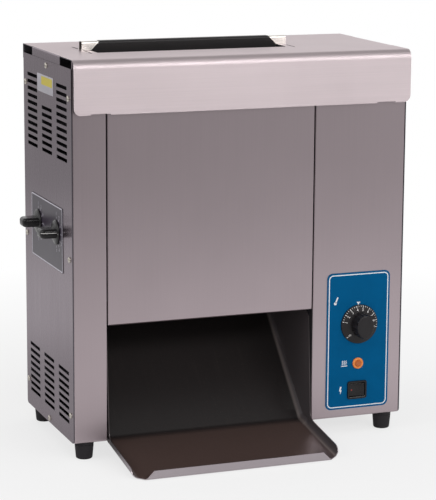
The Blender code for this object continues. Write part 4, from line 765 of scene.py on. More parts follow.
@dataclass(frozen=True)
class CoatedTrough(NonStick):
    """Non-stick coating on a trough, with painted light on its side walls and along its bends.

    In front, on the tray, painted warm light makes the coat browner.
    """

    # Colours of painted light: on the walls, as the highlight in the bends and on the tray.
    wall: str = "#544e50"
    bend_painted_highlight: str = "#8a7f7b"
    tray: str = "#4e3f3b"
    tray_painted_light_reach: Pair = (-0.044, -0.058)
    middle: float = 0.216500
    bend: Pair = (0.1525, 0.1595)

    def add_painted_light(self, tree: Tree, coat: Socket) -> None:
        """Painted light: browner on the tray, greyer on the walls, a pale highlight in each bend.
        """
        place = add(tree, "SeparateXYZ", add(tree, "TexCoord").node.outputs["Object"])
        middle = self.middle + ORIGIN_MM[0] / 1000
        low, high = self.bend
        side = add(tree, "Math", place, middle, operation="SUBTRACT")
        side = add(tree, "Math", side, operation="ABSOLUTE")
        walls_painted_light = add(tree, "MapRange", side, low, high)
        away = add(tree, "Math", side, (low + high) / 2, operation="SUBTRACT")
        away = add(tree, "Math", away, operation="ABSOLUTE")
        line = add(tree, "MapRange", away, 0.0, (high - low) / 2, 0.5, 0.0)
        front = add(tree, "MapRange", place.node.outputs["Y"], *self.tray_painted_light_reach)
        for share, code in ((front, self.tray), (walls_painted_light, self.wall), (line, self.bend_painted_highlight)):
            coat = self.over(tree, share, coat, code)


@dataclass(frozen=True)
class Woven(Finish):
    """Silicone cast over cloth: the weave shows through as two crossed sets of soft ribs."""

    thread: float = 2.4

    def dress(self, tree: Tree) -> None:
        """Crossed waves in relief and colour, the threads drawn 2.4 mm apart so that they show."""
        place = add(tree, "TexCoord").node.outputs["Object"]
        shape = {"Scale": 1000 / self.thread / 20 * 2 * math.pi, "Distortion": 0.4}
        waves = [
            add(tree, "TexWave", place, named=shape, bands_direction=way).node.outputs["Fac"]
            for way in ("X", "Z")
        ]
        weave = add(tree, "Math", *waves, operation="MULTIPLY")
        self.tone(tree, weave, 0.14)
        self.gloss(tree, weave, 0.05)
        self.relief(tree, weave, 0.12)


@dataclass(frozen=True)
class PrintedFilm(Finish):
    """Polyester film printed on its back: an even colour under a clear, slightly pebbled face."""

    shine: float = 0.5
    coat: float = 0.0
    pebble: float = 0.006

    def dress(self, tree: Tree) -> None:
        """Fine pebble of the film and a faint mottle of the print."""
        coat = {"Coat Weight": self.coat, "Coat Roughness": 0.08}
        self.put(tree, {"Specular IOR Level": self.shine} | coat)
        self.tone(tree, self.pattern(tree, (25, 25, 25)), 0.05)
        self.relief(tree, self.pattern(tree, (1.0, 1.0, 1.0)), self.pebble)


@dataclass(frozen=True)
class ClearLens(Finish):
    """Moulded translucent plastic: light goes in and glows back through its colour."""

    glow: float = 0.15

    def dress(self, tree: Tree) -> None:
        """Streaky colour, some transmission and a weak glow for the light caught inside."""
        glow = {"Emission Color": linear(self.colour), "Emission Strength": self.glow}
        self.put(tree, {"Transmission Weight": 0.25} | glow)
        self.tone(tree, self.pattern(tree, (2.5, 2.5, 2.5)), 0.15)


PANEL_STEEL = BrushedStainless("stainless_brushed_upright", "brushed_stainless", "#c8b9be", 0.34)
# Smoother brushed stainless of the side covers and hood end tabs, darker than the front's as
# painted shade on the sides.
SIDE_STEEL_PAINTED_SHADE = BrushedStainless(
    "stainless_brushed_side_painted_shade", "brushed_stainless", "#867982", 0.26, spread=0.03, depth=0.003,
)
HOOD_STEEL = BrushedStainless(
    "stainless_brushed_lengthways", "brushed_stainless", "#d8cacd", 0.37, Grain.SIDEWAYS, 0.07,
    0.85,
)
# Mill-finish steel for inner faces, rims and inner parts, made darker as painted shade for the
# shade inside the body.
INNER_STEEL_PAINTED_SHADE = BrushedStainless(
    "stainless_mill_finish_painted_shade", "brushed_stainless", "#77737a", 0.42, spread=0.08,
)
# Galvanised steel of the bulkheads and the front panels' backs, dark as painted shade in the seams
# between the panels.
BULKHEAD_STEEL_PAINTED_SHADE = BrushedStainless(
    "steel_galvanised_painted_shade", "brushed_stainless", "#454246", 0.55, spread=0.08,
)
CAP_STEEL = BrushedStainless(
    "stainless_polished_cap", "brushed_stainless", "#f0ebe4", 0.3, Grain.SIDEWAYS,
)
CAST_ALUMINIUM = Metal(
    "aluminium_cast_machined", "cast_aluminium", "#bcbcbc", 0.42, (2.2, 2.2, 2.2), 0.04,
)
TURNED_ALUMINIUM = Metal(
    "aluminium_turned", "turned_aluminium", "#c8c8ca", 0.3, (0.5, 60, 60), 0.01,
)
ZINC_STEEL = Metal(
    "steel_zinc_plated", "zinc_plated_steel", "#b0b2ae", 0.34, (6, 6, 6), 0.006, 0.14,
)
SCREW_STEEL = Metal(
    "steel_plated_screw", "zinc_plated_steel", "#cfc8bf", 0.3, (2, 2, 2), 0.004, 0.08,
)
SINTERED_BRONZE = Metal(
    "bronze_sintered", "sintered_bronze", "#b48e5c", 0.5, (0.5, 0.5, 0.5), 0.03, 0.2,
)
PLATE_ALUMINIUM = Metal(
    "aluminium_foil_plate", "brushed_stainless", "#c8c4cc", 0.38, (1.0, 60, 1.0), 0.004, 0.04,
)
# Chute's bare outer steel, with painted shade that darkens it towards the body.
CHUTE_STEEL = ShadeDarkenedSteel(
    "stainless_bead_blasted", "coated_steel", "#c6bcc1", 0.42, (1.2, 1.2, 1.2), 0.004, 0.05,
)
RELEASE_FILM = NonStick(
    "release_film_glass_cloth", "release_coated_sheet", "#1d1a1b", 0.4, "#4e4540",
)
# Trough coating, with the painted light of its class on walls, bends and tray.
COATED_STEEL = CoatedTrough("steel_non_stick_coated", "coated_steel", "#252121", 0.36, shine=0.42)
BELT_SILICONE = Woven("silicone_on_cloth", "silicone_belt", "#6d4130", 0.58)
BLACK_ABS = Moulded(
    "abs_moulded_black", "black_moulded_plastic", "#211e20", 0.4, 0.7, 0.012, spread=0.12,
    shine=0.35,
)
GLOSS_ABS = Moulded(
    "abs_moulded_black_gloss", "black_moulded_plastic", "#181618", 0.26, 0.9, 0.006, shine=0.4,
)
GREY_NYLON = Moulded("nylon_moulded_grey", "grey_moulded_plastic", "#59595c", 0.5)
FAN_PBT = Moulded("glass_filled_plastic_black", "black_moulded_plastic", "#242325", 0.46, 0.6)
FOOT_RUBBER = Moulded(
    "rubber_moulded_black", "black_rubber", "#262326", 0.68, 0.6, 0.03, spread=0.15, shine=0.3,
)
TERMINAL_CERAMIC = Moulded(
    "steatite_pressed_glazed", "heater_ceramic", "#d9d3c6", 0.4, 1.2, 0.02, 0.3, 0.05,
)
MOTOR_ENAMEL = Moulded(
    "enamel_sprayed_dark", "dark_motor_enamel", "#303438", 0.42, 1.4, 0.02, 0.3,
)
WHITE_INK = Moulded(
    "ink_screen_printed_white", "blue_overlay_film", "#e6e9ec", 0.5, 0.5, 0.004, spread=0.03,
)
PALE_INK = Moulded(
    "ink_screen_printed_pale", "grey_overlay_film", "#c9c4cf", 0.5, 0.5, 0.004, spread=0.04,
)
KNOB_INK = Moulded(
    "paint_filled_line_white", "black_moulded_plastic", "#e4e2e0", 0.5, 0.5, 0.004, spread=0.03,
)
RED_PAINT = Moulded("paint_dot_red", "black_moulded_plastic", "#9c2f30", 0.4, 0.5, 0.004)
PLATE_YELLOW = Moulded(
    "paint_printed_yellow", "brushed_stainless", "#cdbb3c", 0.45, 0.5, 0.004, spread=0.05,
)
BLUE_FILM = PrintedFilm("film_printed_blue", "blue_overlay_film", "#005584", 0.5, 0.04)
GREY_FILM = PrintedFilm(
    "film_printed_grey", "grey_overlay_film", "#3f3843", 0.34, 0.22, 0.08, 0.002,
)
AMBER_LENS = ClearLens("polycarbonate_amber", "amber_lens", "#e8924a", 0.25)
DARK_LENS = ClearLens("polycarbonate_amber_deep", "amber_lens", "#c66c36", 0.16, 0.04)



# Pieces

def placed(name: str, data: bpy.types.ID) -> bpy.types.Object:
    """New object in the scene that carries a mesh, a camera or a lamp."""
    item = bpy.data.objects.new(name, data)
    bpy.context.scene.collection.objects.link(item)
    return item


@dataclass
class Piece:
    """A finished piece: what it is made of, its faces, the nodes that it replaces and its body."""

    name: str
    finish: Finish
    patches: Sequence[Patch]
    nodes: tuple[str, ...] = ()
    thickness: float = 0.0
    back: Finish | None = None
    sharp: float = 32.0
    turn: Matrix | None = None
    body: str = "machine"

    def build(self) -> None:
        """Makes the object at the origin, merges its doubled points and hands it to the frame."""
        patch = merged(self.patches)
        mesh = bpy.data.meshes.new(self.name)
        mesh.from_pydata(((patch.points + ORIGIN_MM) / 1000).tolist(), [], patch.faces)
        if self.turn is not None:
            mesh.transform(self.turn)
        shape = bmesh.new()
        shape.from_mesh(mesh)
        bmesh.ops.remove_doubles(shape, verts=shape.verts, dist=WELD_M)
        if not self.thickness:
            bmesh.ops.recalc_face_normals(shape, faces=shape.faces)
        shape.to_mesh(mesh)
        shape.free()
        mesh.materials.append(self.finish.material())
        item = placed(self.name, mesh)
        if self.thickness:
            mesh = self.thicken(item)
        mesh.shade_smooth()
        mesh.set_sharp_from_angle(angle=math.radians(self.sharp))
        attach(item, self.body)
        if self.nodes:
            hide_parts(*self.nodes)
        count = len(mesh.polygons)
        LOG.info("%s: %d faces on %s, %s", self.name, count, self.body, self.finish.name)

    def thicken(self, item: bpy.types.Object) -> bpy.types.Mesh:
        """Gives a sheet its wall, which lies behind its face, so that its rims can be made sharp.

        Args:
            item: Object that carries the face.

        Returns:
            The closed mesh, which the object now carries.
        """
        face = item.data
        wall = item.modifiers.new("sheet", "SOLIDIFY")
        wall.thickness = self.thickness / 1000
        wall.offset = -1.0
        wall.use_even_offset = True
        if self.back is not None:
            face.materials.append(self.back.material())
            wall.material_offset = 1
            wall.material_offset_rim = 1
        graph = bpy.context.evaluated_depsgraph_get()
        mesh = bpy.data.meshes.new_from_object(item.evaluated_get(graph))
        item.modifiers.clear()
        item.data = mesh
        bpy.data.meshes.remove(face)
        mesh.name = self.name
        return mesh


def hinge_turn(point: Place, axis: str, degrees: float) -> Matrix:
    """Rotation about an axis through a point of the body's frame, for meshes in metres."""
    place = Vector(((np.array(point) + ORIGIN_MM) / 1000).tolist())
    turn = Matrix.Rotation(math.radians(degrees), 4, axis)
    return Matrix.Translation(place) @ turn @ Matrix.Translation(-place)


@dataclass(frozen=True)
class Screw:
    """Screw head with a crossed recess: a pan head, or a countersunk one where the height is 0."""

    radius: float = 4.0
    height: float = 1.9
    recess: float = 1.1
    arm: float = 0.55
    seat: float = 0.0
    rim: float = 0.25
    slope: float = 0.25
    reach: float = 2.5
    end_slope: float = 0.3
    steps: int = 48

    def patch(self, facing: Facing, centre: Place, turn: float) -> Patch:
        """Head over a disc: height = h (1 - (r/R)^4)^(1/2), less the recess in a cross's arms.

        Args:
            facing: Side that the head stands on.
            centre: Place of its underside.
            turn: Angle of the cross.

        Returns:
            The closed head.
        """
        share = np.concatenate((np.linspace(0, 0.62, 12), np.linspace(0.68, 1, 7)))[:, None]
        radius = self.radius * share
        flat = radius[..., None] * around(self.steps)
        near = np.abs(radius[..., None] * around(self.steps, turn=turn)).min(axis=-1)
        dome = self.height * np.sqrt(np.clip(1 - share ** 4, 0, 1)) * (1 - self.rim)
        sunk = np.clip((self.arm + self.slope - near) / self.slope, 0, 1)
        sunk = sunk * np.clip((self.reach - radius) / self.end_slope, 0, 1)
        top = facing.place(flat, dome + self.height * self.rim - self.recess * sunk, centre)
        foot = [facing.place(flat[-1:] * size, -self.seat, centre) for size in (1, 0)]
        return grid(np.concatenate((top, *foot)), wrap=True)


@dataclass(frozen=True)
class Vents:
    """Vents of one size, set out in columns."""

    half: float = 26.5
    height: float = 5.5
    pitch: float = 10.55
    corner: float = 1.0
    lift: float = 0.3
    spread: float = 77.0
    upper_top: float = 527.0
    lower_top: float = 104.6

    def column(self, middle: float, top: float, rows: int) -> list[Opening]:
        """Vents one above another, as openings in (u, s) with s upwards."""
        left, right = middle - self.half, middle + self.half
        edges = [top + self.lift - row * self.pitch for row in range(rows)]
        return [Opening(left, right, edge - self.height, edge, self.corner) for edge in edges]


@dataclass(frozen=True)
class Hood:
    """Folded hood with the bun slot, four slits, end tabs and a notched skirt."""

    skirt: float = 79.0
    reach: float = 14.0
    bend: float = 12.5
    rear_bend: float = 1.6
    rear_drop: float = 22.0
    corner: float = 10.5
    slot: Pair = (66.0, 366.0)
    slot_width: float = 86.0
    slot_corner: float = 3.0
    slit_beside: float = 11.0
    slit_side: float = 33.0
    slit_half: Pair = (1.2, 16.5)
    notch_place: float = 40.0
    notch_half: float = 15.0
    notch_rise: float = 1.8
    tab: Pair = (55.0, 200.0)
    tab_foot: float = 555.0
    tab_bend: float = 1.7

    def fold(self) -> Fold:
        """Skirt's lower edge, front bend, top, rear bend, rear edge."""
        back = DEPTH + LAYER
        front = ((-self.reach, HEIGHT - self.skirt), (-self.reach, HEIGHT))
        corners = front + ((back, HEIGHT), (back, HEIGHT - self.rear_drop))
        return Fold(corners, (0.0, self.bend, self.rear_bend, 0.0), 10)

    def along(self, fold: Fold, *depths: float) -> list[float]:
        """Arc lengths on the top at depths."""
        return [fold.reach(1, depth + self.reach) for depth in depths]

    def openings(self, fold: Fold) -> tuple[Opening, ...]:
        """Slot, slits, the notches in the skirt's lower edge and the room beside the tabs."""
        half = self.slot_width / 2
        depths = self.along(fold, PLATEN_Y - half, PLATEN_Y + half)
        items = [Opening(*self.slot, *depths, self.slot_corner)]
        wide, long = self.slit_half
        for middle in (self.slot[0] - self.slit_beside, self.slot[1] + self.slit_beside):
            for side in (-self.slit_side, self.slit_side):
                depths = self.along(fold, PLATEN_Y + side - long, PLATEN_Y + side + long)
                items.append(Opening(middle - wide, middle + wide, *depths, wide))
        half = self.notch_half
        for middle in (self.notch_place, WIDTH - self.notch_place):
            items.append(Opening(middle - half, middle + half, 0.0, self.notch_rise))
        for edge in ((0.0, self.tab_bend), (WIDTH - self.tab_bend, WIDTH)):
            items.append(Opening(*edge, *self.along(fold, *self.tab)))
        return tuple(items)

    def tabs(self, along: Array, fold: Fold) -> list[Patch]:
        """End tabs: the quarter bend (r sin a, r cos a) beside the top, then straight down."""
        depth = fold.at(along)[:, 0]
        angle = np.linspace(0, np.pi / 2, 5)
        outward = np.append(self.tab_bend * np.sin(angle), self.tab_bend)
        height = np.append(HEIGHT - self.tab_bend + self.tab_bend * np.cos(angle), self.tab_foot)
        patches = []
        for start, way in ((self.tab_bend, -1), (WIDTH - self.tab_bend, 1)):
            x, y = np.meshgrid(start + way * outward, depth, indexing="ij")
            points = np.stack((x, y, np.broadcast_to(height[:, None], x.shape)), axis=-1)
            patches.append(grid(points if way > 0 else points[:, ::-1]))
        return patches

    def build(self) -> None:
        """Makes the hood."""
        fold = self.fold()
        rounds = ((0.0, 0.0, self.corner), (WIDTH, 0.0, self.corner))
        blank = Blank((0.0, WIDTH), fold.stations(), self.openings(fold), rounds)
        along = blank.lines()[1]
        start, end = self.along(fold, *self.tab)
        beside = along[(along > start - 1e-3) & (along < end + 1e-3)]
        top, tabs = [blank.patch(fold.surface)], self.tabs(beside, fold)
        Piece("hood_folded", HOOD_STEEL, top, ("hood",), SHEET, INNER_STEEL_PAINTED_SHADE).build()
        Piece("hood_end_tabs", SIDE_STEEL_PAINTED_SHADE, tabs, (), SHEET, INNER_STEEL_PAINTED_SHADE).build()


@dataclass(frozen=True)
class FrontPanels:
    """Left pillar, front cover and control housing: sheets whose upright edges are rolled in."""

    roll: float = 1.3
    roll_end: float = -0.3
    gap: float = 0.9
    bend: float = 3.2
    back: float = 14.0
    top: float = 566.5
    cover: Pair = (175.0, 528.5)

    def surface(self, fold: Fold, left: float, right: float) -> Surface:
        """Surface of a fold whose two upright edges are rolled in by a quarter turn.

        At the angle a of the roll the point is r sin a out from where the roll starts, and
        r (1 - cos a) behind the face.

        Args:
            fold: Side view of the panel, from its bottom return upwards.
            left: Left edge of the finished panel.
            right: Right edge.

        Returns:
            Function from blank points (u, s) to points (x, y, z).
        """
        r, middle = self.roll, (left + right) / 2
        half = (right - left) / 2 - r

        def place(flat: Array) -> Array:
            """Points of the rolled sheet."""
            u, s = flat[..., 0], flat[..., 1]
            off = np.abs(u - middle)
            turn = np.clip((off - half) / r, 0, np.pi / 2)
            x = middle + np.sign(u - middle) * (np.minimum(off, half) + r * np.sin(turn))
            step = fold.at(s + 0.01) - fold.at(s - 0.01)
            behind = unit(np.stack((step[..., 1], -step[..., 0]), axis=-1))
            side = fold.at(s) + behind * (r * (1 - np.cos(turn)))[..., None]
            return np.concatenate((x[..., None], side), axis=-1)

        return place

    def panel(self, name: str, span: Place, rise: Place, holes: Holes = (), folds: int = 1) -> None:
        """One panel.

        Args:
            name: Node that it replaces.
            span: Left and right edge.
            rise: Lower and upper edge.
            holes: Openings under the film, with their places and half sizes in X and Z.
            folds: 1 with the bottom return alone, 2 with one at the top too.
        """
        (left, right), (low, high) = span, rise
        corners = ((self.back, low), (0.0, low), (0.0, high), (self.back, high))[:folds + 2]
        fold = Fold(corners, (0.0,) + (self.bend,) * folds + (0.0,), 5)
        edge = np.append(self.roll * np.linspace(0, np.pi / 2, 5), self.roll_end)
        across = tuple(left + self.roll - edge) + tuple(right - self.roll + edge)
        items = tuple(
            Opening(x - w, x + w, fold.reach(1, z - low - h), fold.reach(1, z - low + h))
            for x, z, w, h in holes
        )
        patch = Blank(across, fold.stations(), items).patch(self.surface(fold, left, right))
        # The panel's back is the dark bulkhead steel: painted shade that shows in the seams.
        Piece(name + "_sheet", PANEL_STEEL, [patch], (name,), SHEET, BULKHEAD_STEEL_PAINTED_SHADE).build()

    def build(self) -> None:
        """The three panels, from left to right."""
        whole, gap = (0.0, self.top), self.gap
        self.panel("left_pillar", (LAYER, LEFT_WALL - gap), whole)
        self.panel("front_cover", (LEFT_WALL + gap, RIGHT_WALL - gap), self.cover, folds=2)
        self.panel("control_front", (RIGHT_WALL + gap, WIDTH - LAYER), whole, CONTROL_HOLES)


@dataclass(frozen=True)
class SideCovers:
    """Vented side covers with their screws, pan heads on the left and sunk ones on the right."""

    height: float = 554.7
    lower_corner: float = 6.0
    upper_corner: float = 1.2
    screw_hole: float = 4.3
    sunk: float = 0.05
    screws: tuple[Pair, ...] = (
        (12.5, 511.0), (12.5, 275.5), (12.5, 41.0), (237.5, 511.0), (237.5, 276.0), (237.5, 42.0),
        (125.0, 547.0), (125.0, 7.0),
    )

    def vents(self) -> list[Opening]:
        """Three columns above, the middle one shorter, and three below."""
        vents = Vents()
        items = []
        for column in (-1, 0, 1):
            middle = PLATEN_Y + column * vents.spread
            rows, top = (11, vents.upper_top) if column else (7, vents.upper_top - 4 * vents.pitch)
            items += vents.column(middle, top, rows) + vents.column(middle, vents.lower_top, 8)
        return items

    def side(
        self, node: str, facing: Facing, x: float, holes: Sequence[Opening], head: Screw,
    ) -> None:
        """One flat side cover, its drawing measured from the front edge.

        Args:
            node: Node that it replaces.
            facing: Side that it closes.
            x: Place of its face.
            holes: Openings besides the vents.
            head: Head of its screws, whose underside lies at the face.
        """
        levels = ((0.0, self.lower_corner), (self.height, self.upper_corner))
        rounds = tuple((y, z, radius) for z, radius in levels for y in (0.0, DEPTH))
        blank = Blank((0.0, DEPTH), (0.0, self.height), (*self.vents(), *holes), rounds)
        patch = blank.patch(upright(0, x))
        if facing is Facing.LEFT:
            patch = patch.flipped()
        Piece(node + "_vented", SIDE_STEEL_PAINTED_SHADE, [patch], (node,), SHEET, INNER_STEEL_PAINTED_SHADE).build()
        place = x - self.sunk if head.seat else x
        spots = enumerate(self.screws)
        heads = [head.patch(facing, (place, y, z), 0.5 * index) for index, (y, z) in spots]
        Piece(node + "_vented_screws", SCREW_STEEL, heads).build()

    def build(self) -> None:
        """Both covers."""
        r = self.screw_hole
        round_holes = openings_at([(y, z, r, r) for y, z in self.screws], r)
        pan, flush = Screw(4.4, 2.4), Screw(4.0, 0.0, 0.9, 0.55, SHEET - 0.1)
        self.side("left_side_cover", Facing.LEFT, 0.0, openings_at(ADJUSTER_HOLES), pan)
        self.side("right_side_cover", Facing.RIGHT, WIDTH, round_holes, flush)


@dataclass(frozen=True)
class LabelPlate:
    """Bare plate high on the left cover, with a plain painted field.

    Both are given by their width, height and corner radius.
    """

    centre: Triple = (0.0, 131.0, 518.25)
    size: Triple = (84.0, 26.5, 2.0)
    thickness: float = 0.4
    edge: float = 0.15
    painted: Triple = (57.0, 12.5, 1.0)
    painted_shift: Pair = (8.5, 4.5)
    painted_rise: Pair = (0.35, 0.46)

    def build(self) -> None:
        """Plate and field."""
        levels = soft_levels(0.0, self.thickness, self.edge)
        plate = prism(rounded_rectangle(*self.size), levels, Facing.LEFT, self.centre)
        Piece("label_plate", PLATE_ALUMINIUM, [plate]).build()
        area = rounded_rectangle(*self.painted) + np.array(self.painted_shift)
        patch = prism(area, [(rise, 0.0) for rise in self.painted_rise], Facing.LEFT, self.centre)
        Piece("label_plate_field", PLATE_YELLOW, [patch]).build()


@dataclass(frozen=True)
class RearCover:
    """Rear cover, its lower edge folded forward, with vents, fan grille, inlet hole and screws."""

    top: float = HEIGHT - LAYER
    fold_depth: float = 14.0
    bend: float = 3.2
    vents_middle: float = 216.5
    vent_rows: int = 6
    fan: Pair = (458.0, 115.0)
    bars: tuple[float, ...] = (22.1, 28.85, 33.35, 35.6, 35.6, 33.35, 28.85, 22.1)
    bar_pitch: float = 8.5
    bar_half: float = 2.25
    inlet: tuple[float, ...] = (491.7, 508.3, 29.7, 46.3, 1.9)
    screw_columns: tuple[float, ...] = (14.0, 265.0, 516.0)
    screw_rows: tuple[float, ...] = (20.0, 540.0)
    fan_screws: tuple[float, ...] = (-35.75, 35.75)

    def openings(self) -> tuple[Opening, ...]:
        """Vents, the bars' gaps in the fan grille and the inlet, with s downwards from the top."""
        vents, (x, z) = Vents(), self.fan
        flat = []
        for column in (-1, 0, 1):
            middle = self.vents_middle + column * vents.spread
            flat += vents.column(middle, vents.upper_top, self.vent_rows)
        for row, half in enumerate(self.bars):
            level = z + (row - (len(self.bars) - 1) / 2) * self.bar_pitch
            rise = (level - self.bar_half, level + self.bar_half)
            flat.append(Opening(x - half, x + half, *rise, self.bar_half))
        flat.append(Opening(*self.inlet))
        top = self.top
        return tuple(Opening(o.left, o.right, top - o.high, top - o.low, o.radius) for o in flat)

    def build(self) -> None:
        """Cover and screws."""
        corners = ((DEPTH, self.top), (DEPTH, 0.0), (DEPTH - self.fold_depth, 0.0))
        fold = Fold(corners, (0.0, self.bend, 0.0), 6)
        patch = Blank((LAYER, WIDTH - LAYER), fold.stations(), self.openings()).patch(fold.surface)
        nodes = ("rear_cover",)
        Piece("rear_cover_vented", PANEL_STEEL, [patch], nodes, SHEET, INNER_STEEL_PAINTED_SHADE).build()
        x, z = self.fan
        spots = [(across, up) for across in self.screw_columns for up in self.screw_rows]
        spots += [(x + dx, z + dz) for dx in self.fan_screws for dz in self.fan_screws]
        heads = [
            Screw().patch(Facing.REAR, (across, DEPTH, up), 0.7 * index)
            for index, (across, up) in enumerate(spots)
        ]
        Piece("rear_cover_screws", SCREW_STEEL, heads).build()


@dataclass(frozen=True)
class Chute:
    """Discharge chute: one trough with a steep slide, a tray, low walls, cut corners and a lip."""

    reach: float = 122.0
    fall: float = 21.8
    bend_y: float = 26.0
    bend_drop: float = 3.5
    top: Pair = (200.0, 176.4)
    lip: float = 12.0
    corner: float = 17.0
    lip_slope: float = 12.0
    rail_foot: float = -2.0
    rail_top: Pair = (10.0, 170.0)
    wall_bend: float = 7.0
    wall_end: float = 96.0
    wall_round: float = 12.5
    wall_foot: float = 1.5
    half_width: float = 161.5
    middle: float = 216.5
    runs: tuple[tuple[float, float, int], ...] = (
        (-119.4, -109.5, 8), (-90, -6, 12), (-4, 12, 25), (16, 199, 40),
    )

    def floor(self) -> Fold:
        """Upper face along the middle: lip's top, tray's front, bend, top of the slide."""
        front = -self.reach + SHEET
        foot = self.tray(front)
        bend = (self.bend_y, -self.bend_drop)
        corners = ((front, foot + self.lip), (front, foot), bend, self.top)
        return Fold(corners, (0.0, 1.3, 12.0, 0.0), 6)

    def tray(self, depth: float) -> float:
        """Height of the tray's face at a depth."""
        return -self.bend_drop - self.fall / (self.reach + self.bend_y) * (self.bend_y - depth)

    def rail(self) -> Array:
        """Upper edge of a side wall: low beside the tray, then up to the tunnel's roof."""
        beside = tuple((y, self.tray(y) + self.lip) for y in (-self.reach, self.rail_foot))
        corners = beside + (self.rail_top, (220.0, self.rail_top[1]))
        return Fold(corners, (0.0, 12.0, 12.0, 0.0), 8).line()

    def half_blank(self, y: Array, wall: Array) -> Array:
        """Half width of the flat blank at each depth.

        It is the floor, the bend and the wall together. Where the wall is lower than the bend
        radius r, the bend stops at the angle arccos(1 - w / r). In front, the wall ends in a
        quarter ellipse from its upper edge to its foot, and a straight cut runs on from there to
        the lip's end.

        Args:
            y: Depths of the stations.
            wall: Height of the wall over the floor at each.

        Returns:
            Lengths from the middle of the floor to the edge.
        """
        r = self.wall_bend
        sweep = np.arccos(np.clip(1 - wall / r, 0, 1))
        whole = self.half_width - r + r * sweep + np.clip(wall - r, 0, None)
        tray_edge = self.half_width - r + r * np.pi / 2 + self.lip - r
        foot, foot_y = self.half_width - self.wall_foot, self.wall_end + self.wall_round
        share = np.clip((-self.wall_end - y) / self.wall_round, 0, 1)
        end = foot + (tray_edge - foot) * np.sqrt(1 - share ** 2)
        beyond = np.clip((-foot_y - y) / (self.reach - SHEET - foot_y), 0, 1)
        cut = end - (self.corner - self.wall_foot) * beyond
        return np.where(share > 0, np.minimum(whole, cut), whole)

    def section(self, along: Array) -> tuple[Array, Array]:
        """Side offset and rise at lengths along the section from its middle.

        They are (q, 0) on the floor, (h - r + r sin a, r - r cos a) on the bend with
        a = (q - h + r) / r, and (h, r + rest) on the wall.
        """
        r = self.wall_bend
        flat = self.half_width - r
        turn = np.clip((along - flat) / r, 0, np.pi / 2)
        rest = np.clip(along - flat - r * np.pi / 2, 0, None)
        return np.minimum(along, flat) + r * np.sin(turn), r - r * np.cos(turn) + rest

    def stations(self, fold: Fold) -> Array:
        """Arc lengths of the sections, closer together where the walls change."""
        round_off = -self.wall_end - self.wall_round * np.sin(np.linspace(np.pi / 2, 0, 18))
        depths = np.concatenate([round_off] + [np.linspace(*run) for run in self.runs])
        lengths, y = fold.lengths(), fold.line()[:, 0]
        ahead = y > 0.1 - self.reach + SHEET
        places = np.interp(depths, y[ahead], lengths[ahead])
        lengths = np.concatenate((fold.stations(), places, np.linspace(0, 10, 4)))
        return np.unique(np.round(lengths, 4))

    def build(self) -> None:
        """Sections of the trough at stations along the floor, each cut off at the blank's edge."""
        fold, edge = self.floor(), self.rail()
        along = self.stations(fold)
        y, z = fold.at(along).T
        foot = fold.corners[1][1]
        wall = np.clip(np.interp(y, edge[:, 0], edge[:, 1]) - z, 0, None)
        on_lip = (along < fold.lengths()[1]) & (z > foot + 0.2)
        rise = np.clip((z - foot) / self.lip, 0, 1)
        lip_half = self.half_width - self.corner - rise * self.lip_slope
        half = np.where(on_lip, lip_half, self.half_blank(y, wall))
        flat = self.half_width - self.wall_bend
        floor_half = np.minimum(flat, half)[:, None]
        inner = floor_half * np.linspace(0, 1, 9)[:-1]
        outer = floor_half + np.clip(half - flat, 0, None)[:, None] * np.linspace(0, 1, 17)
        right = self.section(np.concatenate((inner, outer), axis=1))
        x = np.concatenate((-right[0][:, :0:-1], right[0]), axis=1) + self.middle
        up = z[:, None] + np.concatenate((right[1][:, :0:-1], right[1]), axis=1)
        patch = grid(np.stack((x, np.broadcast_to(y[:, None], x.shape), up), axis=-1)[:, ::-1])
        nodes = ("discharge_chute",)
        Piece("chute_trough", COATED_STEEL, [patch], nodes, SHEET, CHUTE_STEEL).build()


@dataclass(frozen=True)
class Conveyors:
    """Ribbed silicone belts of the two leaning conveyors."""

    span: float = 300.0
    inner: float = 17.3
    outer: float = 19.8
    edge: float = 0.8
    rib: float = 0.9
    rib_power: float = 0.7
    ribs: int = 90
    samples: int = 8
    lean: float = 2.4
    half_spread: float = 46.8
    pivot_height: float = 215.0
    left: float = 67.5
    right: float = 364.5

    def belt(self) -> tuple[Array, Array]:
        """Loop of straight runs and half circles, sampled evenly by its share of the length.

        Returns:
            Centre points of the roll (n, 2) and outward directions (n, 2), in the conveyor's frame.
        """
        count = self.ribs * self.samples
        bow = math.pi * self.outer
        s = np.arange(count) / count * (2 * self.span + 2 * bow)
        up = s < self.span
        over = (s >= self.span) & (s < self.span + bow)
        down = (s >= self.span + bow) & (s < 2 * self.span + bow)
        angle = np.select(
            (up, over, down),
            (0 * s, (s - self.span) / self.outer, 0 * s + np.pi),
            np.pi + (s - 2 * self.span - bow) / self.outer,
        )
        levels = (s, 0 * s + self.span, self.span - (s - self.span - bow))
        height = np.select((up, over, down), levels, 0 * s)
        return np.stack((0 * s, height), axis=-1), np.stack((np.cos(angle), np.sin(angle)), axis=-1)

    def build(self) -> None:
        """A belt is a section (x, radius) carried round the loop; its outer face has raised ribs.

        The rib's height is r max(0, sin(2 pi n t)) ^ 0.7 over the share t of the loop.
        """
        centre, out = self.belt()
        turns = np.arange(len(centre)) / self.samples
        wave = np.clip(np.sin(turns * 2 * np.pi), 0, None) ** self.rib_power
        outer = self.outer - self.rib + self.rib * wave
        inner = 0 * outer + self.inner
        low, left, right = self.edge, self.left, self.right
        section = np.array((left, left + low, right - low, right, right, left))
        radius = np.stack((outer - low, outer, outer, outer - low, inner, inner), axis=1)
        flat = centre[:, None] + out[:, None] * radius[..., None]
        x = np.broadcast_to(section, radius.shape)
        for name, side in (("crown", -1), ("heel", 1)):
            pivot = (LEFT_WALL, PLATEN_Y + side * self.half_spread, self.pivot_height)
            points = np.stack((x, flat[..., 0] + pivot[1], flat[..., 1] + pivot[2]), axis=-1)
            belt = grid(np.concatenate((points, points[:1])), wrap=True)
            Piece(
                name + "_belt_ribbed", BELT_SILICONE, [belt], (name + "_belt",),
                turn=hinge_turn(pivot, "X", -side * self.lean), body=name + "_conveyor",
            ).build()


